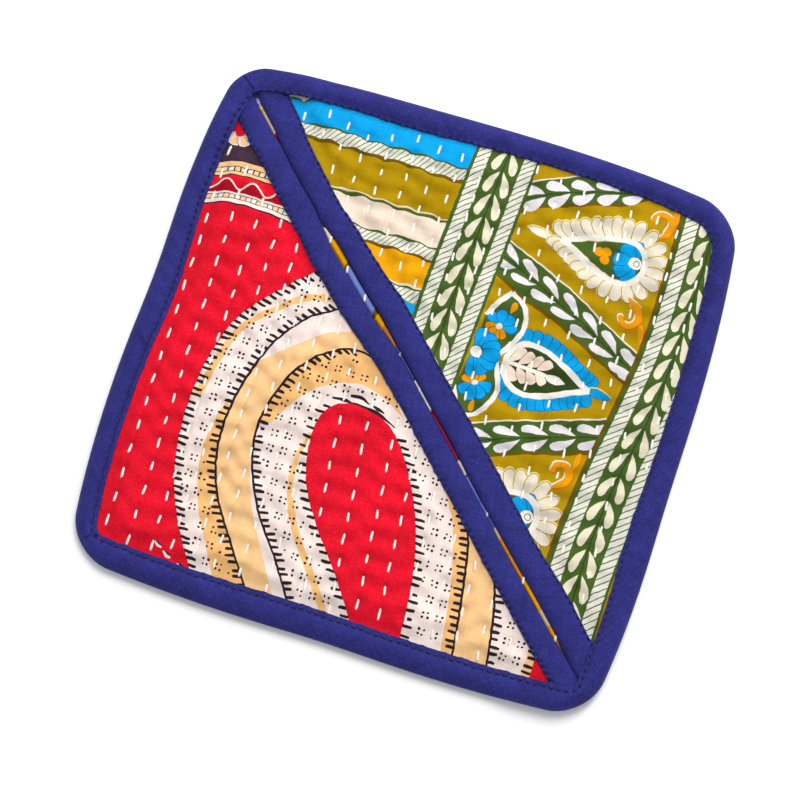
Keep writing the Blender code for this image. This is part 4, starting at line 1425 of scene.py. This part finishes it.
def mouth_sections(pocket):
    """Sections of a folded pocket binding along the slit, with its machine stitches and drag lines."""
    side, width, lift = POCKETS[pocket]
    pitch = MACHINE_PITCH[pocket]
    rows = closed_through(mouth_rows(width), MOUTH_PARTS, MOUTH_FACE_ROWS)
    apart, layer = rows.T
    ends = np.array([tucked_ends(round(side * (place + 0.5), 3)) for place in apart])
    on_face = np.arange(len(rows)) < MOUTH_FACE_ROWS * MOUTH_PARTS
    flatter = np.minimum(layer, 3.0 * CLOTH + 2.0 * GAP)
    fold_share = np.clip(1.0 - apart / width, 0.0, 1.0)
    sections, laid = [], []
    for step in range(MOUTH_STEPS + 1):
        along = ends[:, 0] + (ends[:, 1] - ends[:, 0]) * step / MOUTH_STEPS
        at = along[0]
        height = layer + (flatter - layer) * end_press(along)
        sunk = sunk_by_machine(width - MOUTH_INSET - apart, at, pitch)
        wave = MOUTH_DRAG * drag(at, apart, 5 + side) * smooth(apart / 2.0) * smooth((width - apart) / 3.0)
        edge_wave = edge_waves(at, pitch, side) * face_edge_share(apart, width, MOUTH_PARTS)
        narrowed = apart * from_table(POCKET_BINDING_NARROWS[pocket], along)
        from_slit = narrowed + edge_wave + from_table(SLIT_HALF_OPEN, along)
        moved = side * from_table(FOLD_BACK, along) + from_table(FOLD_SWAY, along)
        x, y = plan_place(along, side * from_slit + moved * fold_share)
        z = mouth_under(along, lift) + height - on_face * (sunk - wave + 0.8 * crease_drop(x, y))
        sections.append(np.stack([x, y, z], axis=1))
        laid.append(laid_flat(rows, at))
    if side > 0:
        return sections[::-1], laid[::-1]
    return sections, laid


def threads(name, centres, material, rings, sides, strands, half_width, half_height, end_dip, facing=1.0):
    """Many short stitches as one mesh. centres holds, for each stitch, a line of points on the cloth.

    facing is 1 where the stitches lie on top of the cloth and -1 where they lie below it.
    """
    points, faces = [], []
    angle = 2.0 * math.pi * np.arange(sides) / sides
    for line in centres:
        step = np.gradient(line, axis=0)
        step /= np.linalg.norm(step, axis=1, keepdims=True)
        across = np.stack([-step[:, 1], step[:, 0], np.zeros(len(step))], axis=1)
        across /= np.linalg.norm(across, axis=1, keepdims=True)
        up = np.cross(step, across)
        up *= np.sign(up[:, 2:3])
        share = np.linspace(-1.0, 1.0, rings)
        size = np.sqrt(np.clip(1.0 - abs(share) ** 5, 0.02, None))
        first = len(points)
        for i in range(rings):
            twist = 1.0 + 0.13 * np.cos(strands * angle + 5.5 * share[i]) if strands else np.ones(sides)
            wide = half_width * size[i] * twist * np.cos(angle)
            tall = half_height * (size[i] * twist * np.sin(angle) + 0.5 * facing)
            middle = line[i] - up[i] * facing * end_dip * abs(share[i]) ** 4
            points += list(middle + wide[:, None] * across[i] + tall[:, None] * up[i])
        for i in range(rings - 1):
            here, there = first + i * sides, first + (i + 1) * sides
            for j in range(sides):
                k = (j + 1) % sides
                faces.append([here + j, here + k, there + k, there + j])
        faces.append([first + j for j in reversed(range(sides))])
        faces.append([first + (rings - 1) * sides + j for j in range(sides)])
    return new_piece(name, points, faces, material)


HAND_RINGS = 11
HAND_SIDES = 9
HAND_END_DIP = 0.30


def hand_stitches(name, found, height, material, facing=1.0):
    """The white running stitches of one cloth, lying on height(x, y)."""
    share = np.linspace(-1.0, 1.0, HAND_RINGS)
    x = found[:, 0:1] - 0.5 * found[:, 3:4] * share * np.sin(found[:, 2:3])
    y = found[:, 1:2] + 0.5 * found[:, 3:4] * share * np.cos(found[:, 2:3])
    z = height(x.ravel(), y.ravel()).reshape(x.shape)
    z = 0.6 * z.mean(axis=1, keepdims=True) + 0.4 * z
    lines = np.stack([x, y, z], axis=2)
    sizes = (STITCH_HALF_WIDTH, STITCH_HALF_HEIGHT, HAND_END_DIP)
    return threads(name, lines, material, HAND_RINGS, HAND_SIDES, 3, *sizes, facing)


MACHINE_RINGS = 6
MACHINE_SIDES = 6
MACHINE_END_DIP = 0.12


def machine_stitches(name, line, material, pitch):
    """A row of small machine stitches along a line in space."""
    lengths = line_lengths(line[:, :2])
    half = 0.5 * MACHINE_SHARE * pitch
    starts = np.arange(pitch, lengths[-1] - pitch, pitch)
    centres = [read_at(at + np.linspace(-half, half, MACHINE_RINGS), lengths, line).T for at in starts]
    sizes = (MACHINE_HALF_WIDTH, MACHINE_HALF_WIDTH, MACHINE_END_DIP)
    return threads(name, centres, material, MACHINE_RINGS, MACHINE_SIDES, 0, *sizes)


def stitch_line(sections, insets, face_rows):
    """The line on a binding's face at the given distances from its face edge, read off its sections."""
    line = []
    for section, inset in zip(sections, insets):
        face = section[:face_rows]
        line.append(read_at(inset, np.hypot(*(face - face[0])[:, :2].T), face))
    return np.array(line)


def pocket_edge(pocket):
    """Closed edge of one pocket panel: inside the edge binding and just short of its own folded binding."""
    side = POCKETS[pocket][0]
    rim = moved_in(PANEL_EDGE, PANEL_INSET)
    _, across = slit_place(rim[:, 0], rim[:, 1])
    kept = side * across > POCKET_FOLD + TIP_CUT
    first = next(i for i in range(len(rim)) if kept[i] and not kept[i - 1])
    outer_part = [rim[(first + i) % len(rim)] for i in range(int(kept.sum()))]
    along = np.linspace(-SLIT_OVERRUN, SLIT_LENGTH + SLIT_OVERRUN, 100)
    x, y = plan_place(along, side * (POCKET_FOLD + FOLD_CLEARANCE + from_table(SLIT_HALF_OPEN, along)))
    inside = is_inside(rim, x, y) & (distance_to(rim, x, y) > RIM_CLEARANCE)
    mouth_part = list(np.stack([x[inside], y[inside]], axis=1))
    if math.dist(outer_part[-1], mouth_part[0]) > math.dist(outer_part[-1], mouth_part[-1]):
        mouth_part.reverse()
    return np.array(outer_part + mouth_part)


# ----------------------------------------------------------------------
# Materials.


class Graph:
    """A short way to add and join shader nodes."""

    def __init__(self, name):
        self.material = bpy.data.materials.new(name)
        self.material.use_nodes = True
        self.tree = self.material.node_tree
        self.shader = self.tree.nodes["Principled BSDF"]

    def fill(self, node, inputs):
        """Joins or sets the inputs of a node, given by name or number."""
        for key, value in inputs.items():
            if isinstance(value, bpy.types.NodeSocket):
                self.tree.links.new(value, node.inputs[key])
            else:
                node.inputs[key].default_value = value

    def add(self, kind, inputs=None, **settings):
        node = self.tree.nodes.new("ShaderNode" + kind)
        for key, value in settings.items():
            setattr(node, key, value)
        self.fill(node, inputs or {})
        return node

    def math(self, operation, first, *others):
        for value in others or (0.0,):
            first = self.add("Math", {0: first, 1: value}, operation=operation).outputs[0]
        return first

    def plus(self, *values):
        return self.math("ADD", *values)

    def times(self, *values):
        return self.math("MULTIPLY", *values)

    def scaled(self, vector, scale):
        return self.add("VectorMath", {0: vector, 1: scale}, operation="MULTIPLY").outputs[0]

    def shaded(self, colour, shade):
        return self.add("VectorMath", {0: colour, "Scale": shade}, operation="SCALE").outputs[0]

    def noise(self, vector, scale, detail=2.0, roughness=0.5):
        inputs = {"Vector": vector, "Scale": scale, "Detail": detail, "Roughness": roughness}
        return self.add("TexNoise", inputs).outputs["Fac"]

    def span(self, value, low, high, new_low, new_high):
        inputs = {"Value": value, "From Min": low, "From Max": high, "To Min": new_low, "To Max": new_high}
        return self.add("MapRange", inputs).outputs["Result"]

    def mix(self, share, one, other):
        return self.add("Mix", {"Factor": share, "A": one, "B": other}, data_type="RGBA").outputs["Result"]

    def finish(self, colour, height, distance, roughness, sheen, specular=0.22):
        bump = self.add("Bump", {"Strength": 1.0, "Distance": distance, "Height": height})
        surface = {"Normal": bump.outputs["Normal"], "Base Color": colour, "Roughness": roughness}
        gloss = {"Sheen Weight": sheen, "Sheen Roughness": 0.45, "Specular IOR Level": specular}
        self.fill(self.shader, surface | gloss)
        return self.material


def plain_weave(graph, place, thread):
    """Height, 0 to 1, of a plain weave with threads that far apart, in metres, and its uneven yarn."""
    split = graph.add("SeparateXYZ", {0: place})
    slubs, waves = [], []
    for axis, scale in enumerate(((60.0, 1400.0, 60.0), (1400.0, 60.0, 60.0))):
        slub = graph.noise(graph.scaled(place, scale), 1.0, 2.0)
        turned = graph.plus(graph.times(split.outputs[axis], math.pi / thread), graph.times(slub, 3.0))
        waves.append(graph.math("SINE", turned))
        slubs.append(slub)
    return graph.span(graph.times(*waves), -1.0, 1.0, 0.0, 1.0), graph.plus(*slubs)


def woven_cotton(graph, ink, lie, thread, clouds, yarn_shades, painted_gap_shade, nap, nap_colour, fibres):
    """Colour and height of woven cotton.

    ink is its colour and lie the place of the weave. clouds holds the scale of the fading and its least and
    most shade; painted_gap_shade the least and most of the painted shade that darkens the gaps between the
    threads and lightens their crowns; nap the scale, detail, roughness, start, end and most of the rubbed
    fibres; fibres the scale and height of two noises over the weave.
    """
    place = graph.add("TexCoord").outputs["Object"]
    weave, slubs = plain_weave(graph, lie or place, thread)
    cloudy = graph.span(graph.noise(place, clouds[0], 4.0, 0.6), 0.3, 0.7, *clouds[1:])
    yarn = graph.span(slubs, 0.7, 1.3, *yarn_shades)
    # Colour follows the weave's height: painted shade in the gaps between threads, painted light on their
    # crowns.
    weave_gap_shade = graph.span(weave, 0.0, 1.0, *painted_gap_shade)
    rubbed = graph.span(graph.noise(place, *nap[:3]), nap[3], nap[4], 0.0, nap[5])
    colour = graph.mix(rubbed, graph.shaded(ink, graph.times(cloudy, yarn, weave_gap_shade)), nap_colour)
    height = weave
    for scale, share in fibres:
        height = graph.plus(height, graph.times(graph.noise(place, scale, 3.0), share))
    return colour, height


def printed_cotton():
    """Soft old cotton with a print: the print comes from the mesh, with uneven ink, slubs and fading."""
    graph = Graph("printed_cotton")
    ink = graph.add("Attribute", attribute_name="print").outputs["Color"]
    colour, height = woven_cotton(
        graph,
        ink,
        lie=None,
        thread=0.00042,
        clouds=(70.0, 0.86, 1.07),
        yarn_shades=(0.93, 1.05),
        painted_gap_shade=(0.94, 1.02),
        nap=(1500.0, 3.0, 0.7, 0.50, 0.85, 0.05),
        nap_colour=(0.80, 0.72, 0.62, 1.0),
        fibres=((900.0, 0.9), (240.0, 1.8)),
    )
    return graph.finish(colour, height, 0.00010, 0.92, 0.015, 0.04)


def binding_cotton():
    """Dense plain navy cotton, cut on the bias, with a fine nap and lighter rubbed flecks all over."""
    graph = Graph("binding_cotton")
    laid = graph.add("Attribute", attribute_name="laid").outputs["Vector"]
    turned = graph.add("VectorRotate", {"Vector": laid, "Angle": math.radians(45.0)}, rotation_type="Z_AXIS")
    colour, height = woven_cotton(
        graph,
        linear(NAVY)[:3],
        lie=turned.outputs[0],
        thread=0.00034,
        clouds=(110.0, 0.82, 1.14),
        yarn_shades=(0.78, 1.18),
        painted_gap_shade=(0.80, 1.12),
        nap=(1900.0, 2.0, 0.6, 0.56, 0.76, 0.30),
        nap_colour=(0.13, 0.14, 0.42, 1.0),
        fibres=((1100.0, 0.8), (260.0, 1.4)),
    )
    return graph.finish(colour, height, 0.00008, 0.88, 0.04, 0.12)


def cotton_thread(name, colour, gloss):
    """Twisted thread with stray fibres."""
    graph = Graph(name)
    place = graph.add("TexCoord").outputs["Object"]
    fibre = graph.noise(graph.scaled(place, (3200.0, 900.0, 3200.0)), 1.0, 3.0)
    dyed = graph.shaded(linear(colour)[:3], graph.span(fibre, 0.3, 0.7, 0.84, 1.06))
    return graph.finish(dyed, fibre, 0.00010, 0.70, gloss)


def floor_material():
    graph = Graph("pale_floor")
    white = (1.0, 1.0, 1.0, 1.0)
    graph.fill(graph.shader, {"Base Color": white, "Roughness": 1.0, "Specular IOR Level": 0.0})
    return graph.material


# ----------------------------------------------------------------------
# Stage.

CAMERA_AZIMUTH = 17.8
CAMERA_ELEVATION = 76.0
CAMERA_DISTANCE = 900.0
CAMERA_TARGET = (-1.0, -8.9, 3.5)
CAMERA_LENS = 111.5
CAMERA_SENSOR = 36.0
CAMERA_NEAR = 10.0
# Two softboxes. Columns: azimuth, elevation, distance, width, power.
SOFTBOXES = {
    "key": (178.0, 61.0, 1400.0, 800.0, 12.5),
    "side": (160.0, 27.0, 1500.0, 450.0, 8.0),
}
SKY_STRENGTH = 0.62
FLOOR_HALF = 2500.0
FLOOR_BELOW = 0.02


def aimed(name, data, target, azimuth, elevation, distance):
    """A light or camera that looks at the target from an azimuth, an elevation and a distance."""
    a, e = math.radians(azimuth), math.radians(elevation)
    back = Vector((math.sin(a) * math.cos(e), -math.cos(a) * math.cos(e), math.sin(e)))
    thing = bpy.data.objects.new(name, data)
    thing.location = (Vector(target) + back * distance) * MM
    thing.rotation_mode = "QUATERNION"
    thing.rotation_quaternion = (-back).to_track_quat("-Z", "Y")
    bpy.context.scene.collection.objects.link(thing)
    return thing


def set_stage():
    """Floor, sky, softboxes and camera."""
    corners = [(u * FLOOR_HALF, v * FLOOR_HALF, 0.0) for u, v in ((-1, -1), (1, -1), (1, 1), (-1, 1))]
    floor = new_piece("floor", corners, [(0, 1, 2, 3)], floor_material())
    floor.location.z = -FLOOR_BELOW * MM

    world = bpy.data.worlds.new("studio")
    world.use_nodes = True
    sky = world.node_tree.nodes["Background"]
    sky.inputs["Color"].default_value = (1.0, 1.0, 1.0, 1.0)
    sky.inputs["Strength"].default_value = SKY_STRENGTH
    bpy.context.scene.world = world

    for name, (azimuth, elevation, distance, size, power) in SOFTBOXES.items():
        light = bpy.data.lights.new(name, "AREA")
        light.shape = "DISK"
        light.size = size * MM
        light.energy = power
        aimed(name, light, (0.0, 0.0, 0.0), azimuth, elevation, distance)

    lens = bpy.data.cameras.new("camera")
    lens.lens = CAMERA_LENS
    lens.sensor_width = CAMERA_SENSOR
    lens.clip_start = CAMERA_NEAR * MM
    camera = aimed("camera", lens, CAMERA_TARGET, CAMERA_AZIMUTH, CAMERA_ELEVATION, CAMERA_DISTANCE)
    bpy.context.scene.camera = camera

    bpy.context.scene.view_settings.view_transform = "Standard"
    bpy.context.scene.view_settings.look = "None"


# ----------------------------------------------------------------------
# The pieces.


# How far the stitches on the back stay from the edge binding.
BACK_STITCH_INSET = 5.0


def dress(piece, slot, *nodes):
    """A piece rides with the holder and stands for the solids it replaces; slot is not used."""
    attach(piece, "root")
    if nodes:
        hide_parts(*nodes)
    return piece


def back_thread_height(x, y):
    """Middle of the stitches on the back, which never reach below the table."""
    return np.maximum(back_face(x, y), 1.7 * STITCH_HALF_HEIGHT)


def on_face(pocket, x, y):
    """Whether a stitch at each place would show on a pocket panel, clear of both bindings."""
    side, width, _ = POCKETS[pocket]
    along, across = slit_place(x, y)
    inward = side * across - from_table(SLIT_HALF_OPEN, along) - width
    return is_inside(INNER, x, y) & (inward > STITCH_FROM_MOUTH) & (face_inset(x, y) > STITCH_FROM_RIM)


def main():
    set_stage()
    printed, navy = printed_cotton(), binding_cotton()
    white = cotton_thread("white_cotton_thread", WHITE_THREAD, 0.25)
    dark = cotton_thread("navy_thread", NAVY_THREAD, 0.10)

    rim = moved_in(PANEL_EDGE, PANEL_INSET)
    base = quilted_piece(
        "base_quilt",
        rim,
        (np.vstack([slit_places(SLIT_STEP), grid_in(rim, UNDER_STEP, UNDER_CLEAR)]), base_face),
        (grid_in(rim, BACK_STEP, BACK_CLEAR), back_face),
        base_print(),
        UNDERSIDE,
        printed,
    )
    dress(base, "quilt_calico", "base_panel")
    found = stitches("back", lambda x, y: face_inset(x, y) > BACK_STITCH_INSET)
    dress(hand_stitches("back_stitches", found, back_thread_height, white, -1.0), "quilt_calico")
    along, across = np.array(SLIT_STITCHES).T
    x, y = plan_place(along, across)
    slant, length = np.full(len(x), SLIT_STITCH_SLANT), np.full(len(x), SLIT_STITCH_LENGTH)
    found = np.stack([x, y, slant, length], axis=1)
    dress(hand_stitches("slit_stitches", found, base_face, white), "quilt_calico")

    for pocket, cloth, ground, slot in (
        ("lower_left", lower_left_print(), "red", "quilt_red"),
        ("upper_right", upper_right_print(), "olive", "quilt_olive"),
    ):
        face = functools.partial(pocket_face, pocket=pocket)
        edge = pocket_edge(pocket)
        panel = quilted_piece(
            "pocket_quilt_" + pocket,
            edge,
            (grid_in(edge, GRID_STEP, GRID_CLEAR), face),
            (grid_in(edge, UNDER_STEP, UNDER_CLEAR), functools.partial(pocket_under, pocket=pocket)),
            cloth,
            ground,
            printed,
        )
        dress(panel, slot, "pocket_panel_" + pocket)
        found = stitches(pocket, functools.partial(on_face, pocket))
        dress(hand_stitches("running_stitches_" + pocket, found, face, white), slot)

        sections, laid = mouth_sections(pocket)
        tape = swept_piece("pocket_tape_" + pocket, sections, False, navy, laid)
        dress(tape, "binding_navy", "pocket_binding_" + pocket)
        line = stitch_line(sections, [MOUTH_INSET] * len(sections), MOUTH_FACE_ROWS * MOUTH_PARTS)
        seam = machine_stitches("machine_stitches_" + pocket, line, dark, MACHINE_PITCH[pocket])
        dress(seam, "binding_navy")

    sections, laid = edge_binding_sections()
    tape = swept_piece("edge_tape", sections[::-1], True, navy, laid[::-1])
    dress(tape, "binding_navy", "edge_binding")
    insets = from_table(MACHINE_INSET, [rows[0][0] for rows in laid])
    line = stitch_line(sections, insets, EDGE_FACE_ROWS * EDGE_PARTS)
    seam = machine_stitches("machine_stitches_edge", line, dark, MACHINE_PITCH["edge"])
    dress(seam, "binding_navy")


main()
